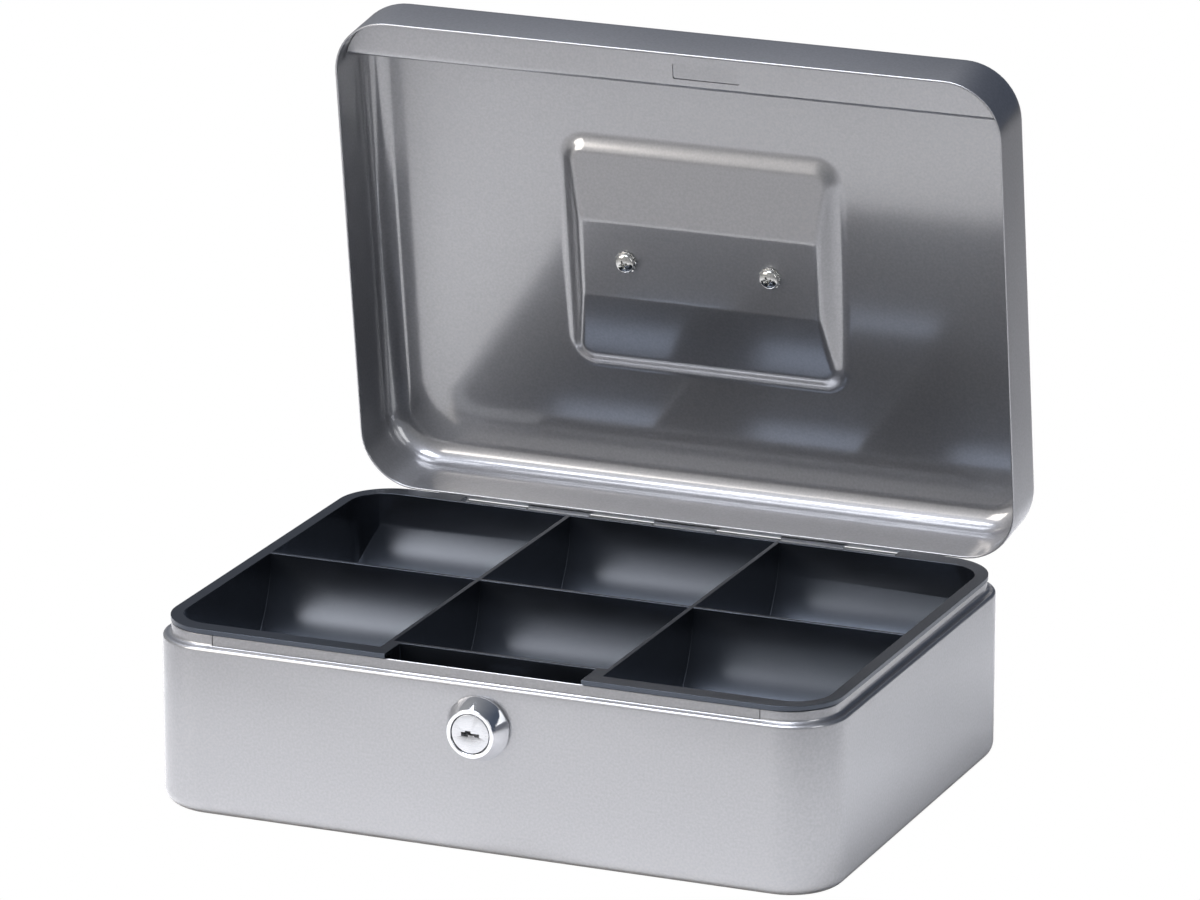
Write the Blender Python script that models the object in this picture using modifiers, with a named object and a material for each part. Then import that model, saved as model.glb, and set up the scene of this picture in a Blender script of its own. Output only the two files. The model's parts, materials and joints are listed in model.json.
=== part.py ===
"""Cash box: a drawn steel box with a folding carrying handle, a cam lock and a lift-out coin tray.

Run with blender --background --python part.py, or from Blender's text editor.
Metres, +Z up, +X to the right of the lock. The origin is the centre of the box's underside.
Everything on the lid is modelled as it sits when the lid is shut, under an empty on the hinge
axis, and the empty is then turned to hold the lid open on its stop.
"""
import math

import bmesh
import bpy
from mathutils import Matrix, Vector

MM = 0.001
X_AXIS, Z_AXIS = 0, 2

# --- driving dimensions -------------------------------------------------------------------
BOX_WIDTH = 250 * MM
BOX_DEPTH = 180 * MM
SHOULDER_HEIGHT = 61.0 * MM
LID_DEPTH = 27.8 * MM
SHEET = 0.8 * MM
PLAN_RADIUS = 20.5 * MM
BOTTOM_RADIUS = 6.0 * MM
LID_EDGE_RADIUS = 9.0 * MM
FOLD_RADIUS = 1.2 * MM
LID_GAP = 0.4 * MM
FIT_GAP = 0.3 * MM
LIP_INSET = 3.0 * MM
LIP_HEIGHT = 4.1 * MM
LID_OPEN_ANGLE = 82.0

PLATE_SIDE_GAP = 25 * MM
PLATE_FOOT_HEIGHT = 14 * MM
PLATE_JOG_HEIGHT = 26 * MM

STRIKE_CLEARANCE = 1.6 * MM
STRIKE_REACH = 16.0 * MM
STRIKE_TURNUP = 4.0 * MM
SLOT_START_X = 1.2 * MM
SLOT_LENGTH = 25.0 * MM
SLOT_WIDTH = 5.8 * MM

HINGE_SIDE_GAP = 40 * MM
HINGE_KNUCKLES = 7
HINGE_PIN_RADIUS = 1.2 * MM
HINGE_BARREL_WALL = 1.4 * MM
HINGE_LEAF_HEIGHT = 13 * MM
HINGE_LEAF_THICKNESS = 1.0 * MM
STOP_TAB_WIDTH = 12 * MM
STOP_TAB_NEAR = 5 * MM
STOP_TAB_FAR = 11 * MM

RECESS_CENTRE_X = 1.5 * MM
RECESS_WIDTH = 109.4 * MM
RECESS_LENGTH = 91 * MM
RECESS_RADIUS = 11 * MM
RECESS_DEEP = 6.5 * MM
RECESS_SHALLOW = 2.8 * MM
RECESS_FLAT_LENGTH = 29.5 * MM
RECESS_WALL_INSET = 4.3 * MM

HANDLE_SCREW_PITCH = 54.8 * MM
HANDLE_ROD_RADIUS = 2.0 * MM
HANDLE_SPAN = 78 * MM
HANDLE_REACH = 27 * MM
HANDLE_CORNER_RADIUS = 9 * MM
HANDLE_ELBOW_RADIUS = 4 * MM
HANDLE_BORE_DEPTH = 5 * MM
POST_WIDTH = 16 * MM
POST_LENGTH = 12 * MM
POST_SKIN = 0.9 * MM
HANDLE_SCREW_HEAD_RADIUS = 3.6 * MM
HANDLE_SCREW_HEAD_HEIGHT = 2.4 * MM
HANDLE_SCREW_RADIUS = 2.0 * MM
HANDLE_SCREW_LENGTH = 5.4 * MM
HANDLE_WASHER_RADIUS = 4.2 * MM
HANDLE_WASHER_THICKNESS = 0.6 * MM

SCREW_RIM_SHARE = 0.35
CROSS_REACH_SHARE = 0.55
CROSS_SLOT_WIDTH = 0.9 * MM
CROSS_DEPTH = 1.2 * MM

LOCK_BELOW_SHOULDER = 14.8 * MM
LOCK_BEZEL_BAND = 2.9 * MM
LOCK_FACE_BAND = 1.65 * MM
LOCK_PROJECTION = 7.8 * MM
LOCK_BARREL_WALL = 2.15 * MM
LOCK_PLUG_RADIUS = 6.85 * MM
LOCK_BEZEL_EDGE = 1.2 * MM
LOCK_FACE_CHAMFER = 0.4 * MM
LOCK_PLUG_CHAMFER = 0.3 * MM
LOCK_NUT_BAND = 3.0 * MM
LOCK_NUT_THICKNESS = 2.6 * MM
LOCK_BACK_FROM_FRONT = 8.4 * MM
KEYWAY_WIDTH = 7.2 * MM
KEYWAY_HEIGHT = 2.8 * MM
KEYWAY_DEPTH = 14.0 * MM
WAFER_COUNT = 5
WAFER_THICKNESS = 0.9 * MM
WAFER_PITCH = 2.3 * MM
WAFER_HEIGHT = 4.8 * MM
WAFER_END_GAP = 1.35 * MM
WAFER_TRAVEL = 0.7 * MM
WAFER_FIRST = 2.2 * MM

CAM_THICKNESS = 1.8 * MM
CAM_HUB_RADIUS = 7.0 * MM
CAM_ARM_WIDTH = 6.4 * MM
CAM_NOSE_INNER = 24.6 * MM
CAM_NOSE_OUTER = 27.6 * MM
CAM_LOCKED_ARM_ANGLE = 75.0
CAM_NOSE_SWEEP = 31.0
CAM_NOSE_SLANT = 1.5
CAM_STUB_SIDE = 7.0 * MM
CAM_SCREW_RADIUS = 1.8 * MM
CAM_SCREW_LENGTH = 6.0 * MM
CAM_SCREW_HEAD_RADIUS = 3.6 * MM
CAM_SCREW_HEAD_HEIGHT = 2.2 * MM
CAM_WASHER_RADIUS = 5.6 * MM
CAM_WASHER_THICKNESS = 0.8 * MM

TRAY_RIM_INSET = 2.2 * MM
TRAY_RIM_RADIUS = 20.0 * MM
TRAY_RIM_THICKNESS = 1.6 * MM
TRAY_WALL = 1.5 * MM
TRAY_SIDE_RIM = 4.4 * MM
TRAY_FRONT_RIM = 6.6 * MM
TRAY_BACK_RIM = 7.4 * MM
TRAY_POCKET_RADIUS = 13 * MM
TRAY_DIVIDERS_X = (-39.3 * MM, 40.5 * MM)
TRAY_DIVIDER_Y = 0.2 * MM
TRAY_NOTCH_LEFT = -35.6 * MM
TRAY_NOTCH_RIGHT = 36.2 * MM
TRAY_NOTCH_BACK = 12.8 * MM
TRAY_RELIEF_LEFT_GAP = 43 * MM
TRAY_RELIEF_RIGHT_GAP = 41 * MM

# --- sizes worked out from them ---------------------------------------------------------------
FRONT_Y = -BOX_DEPTH / 2
BACK_Y = BOX_DEPTH / 2
LIP_TOP = SHOULDER_HEIGHT + LIP_HEIGHT
LID_RIM_Z = SHOULDER_HEIGHT + LID_GAP
LID_TOP_Z = LID_RIM_Z + LID_DEPTH
TRAY_TOP = LIP_TOP + FIT_GAP + TRAY_RIM_THICKNESS
STRIKE_Z = TRAY_TOP + STRIKE_CLEARANCE
HINGE_LENGTH = BOX_WIDTH - 2 * HINGE_SIDE_GAP
HINGE_BARREL_RADIUS = HINGE_PIN_RADIUS + HINGE_BARREL_WALL
HINGE_SETBACK = FIT_GAP + HINGE_LEAF_THICKNESS + HINGE_BARREL_RADIUS
HINGE_Y = BACK_Y + HINGE_SETBACK
HINGE_Z = SHOULDER_HEIGHT
LOCK_Z = SHOULDER_HEIGHT - LOCK_BELOW_SHOULDER
LOCK_BACK_Y = FRONT_Y + LOCK_BACK_FROM_FRONT
LOCK_BARREL_RADIUS = LOCK_PLUG_RADIUS + LOCK_BARREL_WALL
LOCK_FACE_RADIUS = LOCK_PLUG_RADIUS + LOCK_FACE_BAND
LOCK_BEZEL_RADIUS = LOCK_FACE_RADIUS + LOCK_BEZEL_BAND
LOCK_NUT_ACROSS_FLATS = 2 * (LOCK_BARREL_RADIUS + LOCK_NUT_BAND)
WAFER_LENGTH = 2 * (LOCK_PLUG_RADIUS - WAFER_END_GAP)
CAM_Y = LOCK_BACK_Y + FIT_GAP
PLATE_Y = FRONT_Y + LIP_INSET
PLATE_TOP = LIP_TOP
PLATE_HALF_WIDTH = BOX_WIDTH / 2 - PLATE_SIDE_GAP
RECESS_FLOOR_Z = LID_TOP_Z - RECESS_DEEP
RECESS_INNER_Z = RECESS_FLOOR_Z - SHEET
HANDLE_PIVOT_Z = RECESS_FLOOR_Z + FIT_GAP + POST_SKIN + FIT_GAP + HANDLE_ROD_RADIUS
SLOT_Y = CAM_Y + CAM_THICKNESS / 2
TRAY_RELIEF_LEFT = TRAY_RELIEF_LEFT_GAP - BOX_WIDTH / 2
TRAY_RELIEF_RIGHT = BOX_WIDTH / 2 - TRAY_RELIEF_RIGHT_GAP


# --- helpers ----------------------------------------------------------------------------------
def material(name, colour, roughness, metallic):
    made = bpy.data.materials.new(name)
    made.use_nodes = True
    shader = made.node_tree.nodes["Principled BSDF"]
    shader.inputs["Base Color"].default_value = (*colour, 1.0)
    shader.inputs["Roughness"].default_value = roughness
    shader.inputs["Metallic"].default_value = metallic
    made.diffuse_color = (*colour, 1.0)
    return made


def new_object(name, mesh, surface=None, collection=None):
    made = bpy.data.objects.new(name, mesh)
    (collection or parts).objects.link(made)
    if surface:
        made.data.materials.append(surface)
    return made


def from_bmesh(name, bm, surface=None, collection=None):
    mesh = bpy.data.meshes.new(name)
    bm.to_mesh(mesh)
    bm.free()
    mesh.shade_smooth()
    mesh.set_sharp_from_angle(angle=math.radians(32))
    return new_object(name, mesh, surface, collection)


def cutter(made):
    """A guide shape: it stays in the file as a wire and is never a part."""
    made.hide_render = True
    made.display_type = "WIRE"
    for group in list(made.users_collection):
        group.objects.unlink(made)
    cutters.objects.link(made)
    return made


def boolean(made, tool, operation="DIFFERENCE"):
    """Cuts or joins with a tool, which is carried along wherever the made object goes."""
    if tool.parent is None:
        tool.parent = made
        tool.matrix_parent_inverse = made.matrix_basis.inverted()
    change = made.modifiers.new(operation.lower(), "BOOLEAN")
    change.object = tool
    change.operation = operation
    change.solver = "EXACT"
    return change


def box(name, low, high, surface=None):
    bm = bmesh.new()
    bmesh.ops.create_cube(bm, size=1.0)
    size = Vector(high) - Vector(low)
    centre = (Vector(high) + Vector(low)) / 2
    bmesh.ops.scale(bm, vec=size, verts=bm.verts)
    bmesh.ops.translate(bm, vec=centre, verts=bm.verts)
    return from_bmesh(name, bm, surface)


def axis_turn(axis):
    """The turn that lays a shape's own Z axis along the named axis."""
    return {
        "X": Matrix.Rotation(math.radians(90), 4, "Y"),
        "Y": Matrix.Rotation(math.radians(-90), 4, "X"),
        "Z": Matrix.Identity(4),
    }[axis]


def cylinder(name, radius, start, end, axis="Z", centre=(0, 0, 0), sides=32, surface=None):
    """A round bar from start to end along an axis through the given centre."""
    bm = bmesh.new()
    length = end - start
    bmesh.ops.create_cone(bm, cap_ends=True, segments=sides, radius1=radius, radius2=radius, depth=length)
    bmesh.ops.translate(bm, vec=(0, 0, (start + end) / 2), verts=bm.verts)
    bmesh.ops.transform(bm, matrix=Matrix.Translation(centre) @ axis_turn(axis), verts=bm.verts)
    return from_bmesh(name, bm, surface)


def turned(name, profile, place, sides, surface=None):
    """A turned piece: (radius, height) points, top to bottom down the outer side, spun about Z."""
    bm = bmesh.new()
    points = [bm.verts.new((radius, 0, height)) for radius, height in profile]
    for first, second in zip(points, points[1:] + points[:1]):
        bm.edges.new((first, second))
    made = from_bmesh(name, bm, surface)
    made.matrix_world = place
    spin = made.modifiers.new("spin", "SCREW")
    spin.steps = spin.render_steps = sides
    spin.use_merge_vertices = True
    spin.merge_threshold = 0.00001
    spin.use_smooth_shade = True
    return made


def arc(centre, radius, start, end, steps):
    """Points on a round stretch, in degrees."""
    turns = [math.radians(start + (end - start) * step / steps) for step in range(steps + 1)]
    return [(centre[0] + radius * math.cos(t), centre[1] + radius * math.sin(t)) for t in turns]


def rounded_outline(width, depth, radius, steps=8, centre=(0.0, 0.0)):
    """The corners of a rounded rectangle as one run of points, from the front left corner."""
    x, y = width / 2 - radius, depth / 2 - radius
    outline = []
    for side_x, side_y, start in ((-1, -1, 180), (1, -1, 270), (1, 1, 0), (-1, 1, 90)):
        corner = (centre[0] + side_x * x, centre[1] + side_y * y)
        outline += arc(corner, radius, start, start + 90, steps)
    return outline


def add_ring(bm, outline, height):
    """A closed ring of edges; height is a number or a function of the point."""
    level = height if callable(height) else (lambda x, y: height)
    points = [bm.verts.new((x, y, level(x, y))) for x, y in outline]
    edges = [bm.edges.new(pair) for pair in zip(points, points[1:] + points[:1])]
    return points, edges


def bridge(bm, first, second):
    """A band of quads between two rings that have the same number of points."""
    near, far = first[0], second[0]
    for a, b, c, d in zip(near, near[1:] + near[:1], far[1:] + far[:1], far):
        bm.faces.new((a, b, c, d))


def drawn_cup(bm, levels):
    """A drawn cup's outer skin from (inset, height) levels, all of one plan, mouth first."""
    rings = []
    for inset, height in levels:
        outline = rounded_outline(BOX_WIDTH - 2 * inset, BOX_DEPTH - 2 * inset, PLAN_RADIUS - inset)
        rings.append(add_ring(bm, outline, height))
    for first, second in zip(rings, rings[1:]):
        bridge(bm, first, second)
    return rings[-1]


def turn_skin_outward(bm, axis):
    """Turns an open skin so that its lowest face along the axis looks down that axis."""
    bmesh.ops.recalc_face_normals(bm, faces=bm.faces)
    lowest = min(bm.faces, key=lambda face: face.calc_center_median()[axis])
    if lowest.normal[axis] > 0:
        bmesh.ops.reverse_faces(bm, faces=bm.faces)


def sheet_metal(made, thickness=SHEET, offset=-1.0):
    wall = made.modifiers.new("sheet", "SOLIDIFY")
    wall.thickness = thickness
    wall.offset = offset
    wall.use_even_offset = True
    return wall


def folded_sheet(name, points, start_x, end_x, thickness, surface):
    """A flat strip folded along X: (y, z) points of its middle, given its thickness both ways."""
    bm = bmesh.new()
    line = [bm.verts.new((start_x, y, z)) for y, z in points]
    edges = [bm.edges.new(pair) for pair in zip(line, line[1:])]
    made = bmesh.ops.extrude_edge_only(bm, edges=edges)
    moved = [item for item in made["geom"] if isinstance(item, bmesh.types.BMVert)]
    bmesh.ops.translate(bm, vec=(end_x - start_x, 0, 0), verts=moved)
    bmesh.ops.recalc_face_normals(bm, faces=bm.faces)
    strip = from_bmesh(name, bm, surface)
    sheet_metal(strip, thickness, 0.0)
    return strip


def extruded(name, outline, matrix, thickness, surface=None):
    """A flat plate: a filled outline in its own XY plane, half its thickness each way."""
    bm = bmesh.new()
    points = [bm.verts.new((x, y, -thickness / 2)) for x, y in outline]
    face = bm.faces.new(points)
    made = bmesh.ops.extrude_face_region(bm, geom=[face])
    moved = [item for item in made["geom"] if isinstance(item, bmesh.types.BMVert)]
    bmesh.ops.translate(bm, vec=(0, 0, thickness), verts=moved)
    bmesh.ops.recalc_face_normals(bm, faces=bm.faces)
    bmesh.ops.transform(bm, matrix=matrix, verts=bm.verts)
    return from_bmesh(name, bm, surface)


def rounded_prism(name, width, depth, radius, low, high, centre=(0.0, 0.0)):
    outline = rounded_outline(width, depth, radius, centre=centre)
    return extruded(name, outline, Matrix.Translation((0, 0, (low + high) / 2)), high - low)


# --- the body ---------------------------------------------------------------------------------
def base_shell():
    """The body: a drawn steel cup whose mouth steps in at a shoulder to a short upright lip."""
    foot = arc((LIP_INSET - FOLD_RADIUS, SHOULDER_HEIGHT + FOLD_RADIUS), FOLD_RADIUS, 0, -90, 3)
    bend = arc((FOLD_RADIUS, SHOULDER_HEIGHT - FOLD_RADIUS), FOLD_RADIUS, 90, 180, 3)
    heel = arc((BOTTOM_RADIUS, BOTTOM_RADIUS), BOTTOM_RADIUS, 180, 270, 5)
    bm = bmesh.new()
    floor = drawn_cup(bm, [(LIP_INSET, LIP_TOP)] + foot + bend + heel)
    bmesh.ops.contextual_create(bm, geom=floor[1])
    turn_skin_outward(bm, Z_AXIS)
    shell = from_bmesh("base_shell", bm, steel)
    sheet_metal(shell)
    half = PLATE_HALF_WIDTH + FIT_GAP
    lip_notch = box("lip_notch", (-half, PLATE_Y - FIT_GAP, SHOULDER_HEIGHT - 2 * SHEET),
                    (half, PLATE_Y + LIP_INSET, LIP_TOP + LIP_HEIGHT))
    boolean(shell, cutter(lip_notch))
    boolean(shell, cutter(lock_hole("wall_hole")))
    return shell


def lock_hole(name):
    return cylinder(name, LOCK_BARREL_RADIUS + FIT_GAP, FRONT_Y - LIP_INSET, FRONT_Y + 2 * LIP_INSET, "Y",
                    (0, 0, LOCK_Z), 40)


def front_plate():
    """The lock plate behind the front wall; its top edge is the front stretch of the lip."""
    front, back = PLATE_Y + SHEET / 2, FRONT_Y + SHEET + FIT_GAP + SHEET / 2
    points = [(front, PLATE_TOP), (front, PLATE_JOG_HEIGHT), (back, PLATE_JOG_HEIGHT - LIP_INSET),
              (back, PLATE_FOOT_HEIGHT)]
    plate = folded_sheet("front_plate", points, -PLATE_HALF_WIDTH, PLATE_HALF_WIDTH, SHEET, steel)
    boolean(plate, cutter(lock_hole("plate_hole")))
    return plate


# --- the lid ------------------------------------------------------------------------------------
def recess_depth(y):
    """Depth of the handle recess: level in its middle stretch, rising straight to both ends."""
    beyond = max(0.0, abs(y) - RECESS_FLAT_LENGTH / 2)
    ramp = RECESS_LENGTH / 2 - RECESS_SHALLOW - RECESS_WALL_INSET - RECESS_FLAT_LENGTH / 2
    return RECESS_DEEP + (RECESS_SHALLOW - RECESS_DEEP) * min(1.0, beyond / ramp)


def recess_outlines():
    """The recess at the lid's face and at its floor, point for point, with points on the creases."""
    crease = RECESS_FLAT_LENGTH / 2
    outline = rounded_outline(RECESS_WIDTH, RECESS_LENGTH, RECESS_RADIUS, 5)
    right = RECESS_WIDTH / 2
    outline[12:12] = [(right, -crease), (right, crease)]
    outline += [(-right, crease), (-right, -crease)]
    floor = []
    end_scale = 1 - (RECESS_SHALLOW + RECESS_WALL_INSET) / (RECESS_LENGTH / 2)
    for x, y in outline:
        floor_y = y * end_scale if abs(y) > crease + FIT_GAP else y
        side_scale = 1 - (recess_depth(floor_y) + RECESS_WALL_INSET) / right
        floor.append((x * side_scale, floor_y))
    return [[(x + RECESS_CENTRE_X, y) for x, y in points] for points in (outline, floor)]


def lid_shell():
    """The lid: a drawn cup, open downwards, with the sloping handle recess pressed into its top."""
    edge = [(inset, LID_TOP_Z - LID_EDGE_RADIUS + rise) for inset, rise in
            ((LID_EDGE_RADIUS + a, b) for a, b in arc((0, 0), LID_EDGE_RADIUS, 180, 90, 6))]
    bm = bmesh.new()
    top = drawn_cup(bm, [(0.0, LID_RIM_Z)] + edge)
    mouth_outline, floor_outline = recess_outlines()
    mouth = add_ring(bm, mouth_outline, LID_TOP_Z)
    floor = add_ring(bm, floor_outline, lambda x, y: LID_TOP_Z - recess_depth(y))
    bridge(bm, mouth, floor)
    bmesh.ops.triangle_fill(bm, edges=top[1] + mouth[1], use_beauty=True)
    points = floor[0]
    for crease in ((points[12], points[27]), (points[13], points[26])):
        bm.edges.new(crease)
    bm.faces.new(points[0:13] + [points[27]])
    bm.faces.new([points[12], points[13], points[26], points[27]])
    bm.faces.new(points[13:27])
    turn_skin_outward(bm, X_AXIS)
    shell = from_bmesh("lid_shell", bm, steel)
    sheet_metal(shell)
    for side in (-1, 1):
        hole = cylinder(f"screw_hole_{side}", HANDLE_SCREW_RADIUS + FIT_GAP, -MM * 4, MM * 4, "Z",
                        (screw_x(side), 0, RECESS_FLOOR_Z), 20)
        boolean(shell, cutter(hole))
    return shell


def strike_bar():
    """The strike: a folded flange across the inside of the lid's front, slotted for the cam."""
    front = FRONT_Y + SHEET + 2 * FIT_GAP + SHEET / 2
    back = FRONT_Y + STRIKE_REACH - SHEET / 2
    level = STRIKE_Z + SHEET / 2
    points = [(front, level + STRIKE_TURNUP), (front, level), (back, level), (back, level + STRIKE_TURNUP)]
    reach = BOX_WIDTH / 2
    bar = folded_sheet("strike_bar", points, -reach, reach, SHEET, steel)
    inset = SHEET + FIT_GAP
    inside = rounded_prism("strike_outline", BOX_WIDTH - 2 * inset, BOX_DEPTH - 2 * inset,
                           PLAN_RADIUS - inset, STRIKE_Z - LIP_HEIGHT, STRIKE_Z + LID_DEPTH / 2)
    boolean(bar, cutter(inside), "INTERSECT")
    slot = box("strike_slot", (SLOT_START_X, SLOT_Y - SLOT_WIDTH / 2, STRIKE_Z - SHEET),
               (SLOT_START_X + SLOT_LENGTH, SLOT_Y + SLOT_WIDTH / 2, STRIKE_Z + 2 * SHEET))
    boolean(bar, cutter(slot))
    return bar


# --- the hinge ----------------------------------------------------------------------------------
def knuckles(owner):
    """The stretches of the barrel that belong to one leaf: even ones to the base, odd to the lid."""
    pitch = HINGE_LENGTH / HINGE_KNUCKLES
    for number in range(owner, HINGE_KNUCKLES, 2):
        start = -HINGE_LENGTH / 2 + number * pitch
        yield start + FIT_GAP / 2, start + pitch - FIT_GAP / 2


def hinge_leaf(name, owner, start_x, end_x, low_z, high_z):
    """One hinge leaf: a flat plate on the back wall with its rolled knuckles and a pin bore."""
    leaf_front = BACK_Y + FIT_GAP
    leaf_back = leaf_front + HINGE_LEAF_THICKNESS
    leaf = box(name, (start_x, leaf_front, low_z), (end_x, leaf_back, high_z), hinge_steel)
    web_low = low_z + HINGE_LEAF_THICKNESS if owner == 0 else HINGE_Z
    web_high = HINGE_Z if owner == 0 else high_z - HINGE_LEAF_THICKNESS
    for number, (start, end) in enumerate(knuckles(owner)):
        barrel = cylinder(f"{name}_barrel_{number}", HINGE_BARREL_RADIUS, start, end, "X",
                          (0, HINGE_Y, HINGE_Z), 20)
        boolean(leaf, cutter(barrel), "UNION")
        web = box(f"{name}_web_{number}", (start + FIT_GAP, leaf_front + FIT_GAP / 2, web_low),
                  (end - FIT_GAP, leaf_back + HINGE_LEAF_THICKNESS / 2, web_high))
        boolean(leaf, cutter(web), "UNION")
    bore = cylinder(f"{name}_bore", HINGE_PIN_RADIUS + FIT_GAP, -HINGE_LENGTH, HINGE_LENGTH, "X",
                    (0, HINGE_Y, HINGE_Z), 20)
    boolean(leaf, cutter(bore))
    return leaf


def opened(y, z):
    """Where a point of the shut lid's side view lies when the lid is open on its stop."""
    turn = math.radians(LID_OPEN_ANGLE)
    across, up = y - HINGE_Y, z - HINGE_Z
    return (HINGE_Y + across * math.cos(turn) + up * math.sin(turn),
            HINGE_Z - across * math.sin(turn) + up * math.cos(turn))


def stop_tab(name, start_x, end_x):
    """A tab bent out of the base leaf, on which the lid's back wall comes to rest."""
    middle = BACK_Y + FIT_GAP + HINGE_LEAF_THICKNESS / 2
    near, far = opened(middle, HINGE_Z + STOP_TAB_NEAR), opened(middle, HINGE_Z + STOP_TAB_FAR)
    root = HINGE_Z - HINGE_LEAF_HEIGHT + HINGE_LEAF_THICKNESS
    points = [(middle + FIT_GAP / 2, root), (middle + FIT_GAP / 2, HINGE_Z - STOP_TAB_NEAR), near, far]
    return folded_sheet(name, points, start_x, end_x, HINGE_LEAF_THICKNESS, hinge_steel)


def hinge():
    clear = HINGE_BARREL_RADIUS + FIT_GAP
    half = HINGE_LENGTH / 2
    wide = half + FIT_GAP + STOP_TAB_WIDTH
    low, high = HINGE_Z - HINGE_LEAF_HEIGHT, HINGE_Z + HINGE_LEAF_HEIGHT
    base_leaf = hinge_leaf("hinge_base_leaf", 0, -wide, wide, low, HINGE_Z - clear)
    for side in (-1, 1):
        ends = sorted((side * (half + 2 * FIT_GAP), side * (wide - FIT_GAP)))
        boolean(base_leaf, cutter(stop_tab(f"stop_tab_{side}", *ends)), "UNION")
    lid_leaf = hinge_leaf("hinge_lid_leaf", 1, -half, half, HINGE_Z + clear, high)
    axis_centre = (0, HINGE_Y, HINGE_Z)
    pin = cylinder("hinge_pin", HINGE_PIN_RADIUS, -half, half, "X", axis_centre, 20, hinge_steel)
    return base_leaf, lid_leaf, pin


# --- the handle ---------------------------------------------------------------------------------
def screw_x(side):
    return RECESS_CENTRE_X + side * HANDLE_SCREW_PITCH / 2


def handle_post(name, side):
    """The block that carries one end of the handle, with its cross bore and its screw hole."""
    x = screw_x(side)
    low = RECESS_FLOOR_Z + FIT_GAP
    high = HANDLE_PIVOT_Z + HANDLE_ROD_RADIUS + FIT_GAP + POST_SKIN
    post = box(name, (x - POST_WIDTH / 2, -POST_LENGTH / 2, low),
               (x + POST_WIDTH / 2, POST_LENGTH / 2, high), handle_plastic)
    round_over = post.modifiers.new("round", "BEVEL")
    round_over.width = 1.0 * MM
    round_over.segments = 2
    outer = x + side * (POST_WIDTH / 2 + FIT_GAP)
    inner = x + side * (POST_WIDTH / 2 - HANDLE_BORE_DEPTH)
    bore = cylinder(f"{name}_bore", HANDLE_ROD_RADIUS + FIT_GAP, min(outer, inner), max(outer, inner),
                    "X", (0, 0, HANDLE_PIVOT_Z), 20)
    boolean(post, cutter(bore))
    thread = cylinder(f"{name}_thread", HANDLE_SCREW_RADIUS + FIT_GAP, low - MM,
                      RECESS_INNER_Z + HANDLE_SCREW_LENGTH + FIT_GAP, "Z", (x, 0, 0), 20)
    boolean(post, cutter(thread))
    return post


def handle_bail():
    """The folding handle: a round steel bar bent to a U, its two ends turned in to the posts."""
    half, elbow, corner = HANDLE_SPAN / 2, HANDLE_ELBOW_RADIUS, HANDLE_CORNER_RADIUS
    tip = HANDLE_SCREW_PITCH / 2 + POST_WIDTH / 2 - HANDLE_BORE_DEPTH + FIT_GAP
    left = [(-tip, 0.0)] + arc((elbow - half, elbow), elbow, 270, 180, 4)
    left += arc((corner - half, HANDLE_REACH - corner), corner, 180, 90, 6)
    path = left + [(-x, y) for x, y in reversed(left)]
    curve = bpy.data.curves.new("handle_bail", "CURVE")
    curve.dimensions = "3D"
    curve.bevel_depth = HANDLE_ROD_RADIUS
    curve.bevel_resolution = 3
    curve.use_fill_caps = True
    line = curve.splines.new("POLY")
    line.points.add(len(path) - 1)
    for point, (x, y) in zip(line.points, path):
        point.co = (x, y, 0.0, 1.0)
    return new_object("handle_bail", curve, chrome)


def handle_rest_angle():
    """How far the handle's loop is tipped up where it lies on the recess's sloping floor."""
    clear = HANDLE_ROD_RADIUS + FIT_GAP
    tip_z = LID_TOP_Z - recess_depth(HANDLE_REACH) + clear
    return math.atan2(tip_z - HANDLE_PIVOT_Z, HANDLE_REACH)


def pan_screw(name, place, head_radius, head_height, shank_radius, shank_length, surface):
    """A pan-head screw, its head up and its shank down, with a cross recess."""
    rim = head_height * SCREW_RIM_SHARE
    profile = [(head_radius * x, rim + (head_height - rim) * y) for x, y in arc((0, 0), 1.0, 90, 0, 4)]
    profile[0] = (0.0, head_height)
    profile += [(head_radius, 0.0), (shank_radius, 0.0), (shank_radius, -shank_length), (0.0, -shank_length)]
    screw = turned(name, profile, place, 20, surface)
    reach, half, foot = head_radius * CROSS_REACH_SHARE, CROSS_SLOT_WIDTH / 2, head_height - CROSS_DEPTH
    for number, turn in enumerate((45, 135)):
        arm = box(f"{name}_cross_{number}", (-reach, -half, foot), (reach, half, 2 * head_height))
        arm.matrix_world = place @ Matrix.Rotation(math.radians(turn), 4, "Z")
        boolean(screw, cutter(arm))
    return screw


def washer(name, place, radius, bore, thickness, surface):
    """A flat ring, its lower face in the place's own XY plane."""
    profile = [(bore, thickness), (radius, thickness), (radius, 0.0), (bore, 0.0)]
    return turned(name, profile, place, 24, surface)


# --- the lock -----------------------------------------------------------------------------------
def lock_place(y):
    """A frame on the lock's axis whose own Z points out of the front of the box."""
    return Matrix.Translation((0, y, LOCK_Z)) @ Matrix.Rotation(math.radians(90), 4, "X")


def lock_housing():
    """The chromed housing: a conical bezel in front of the wall and the barrel through it."""
    bore = LOCK_PLUG_RADIUS + FIT_GAP
    seat = FIT_GAP
    profile = [(bore, LOCK_PROJECTION), (LOCK_FACE_RADIUS - LOCK_FACE_CHAMFER, LOCK_PROJECTION)]
    profile += [(LOCK_FACE_RADIUS, LOCK_PROJECTION - LOCK_FACE_CHAMFER)]
    profile += [(LOCK_BEZEL_RADIUS, seat + LOCK_BEZEL_EDGE)]
    profile += [(LOCK_BEZEL_RADIUS, seat), (LOCK_BARREL_RADIUS, seat)]
    profile += [(LOCK_BARREL_RADIUS, -LOCK_BACK_FROM_FRONT), (bore, -LOCK_BACK_FROM_FRONT)]
    return turned("lock_housing", profile, lock_place(FRONT_Y), 48, chrome)


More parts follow.
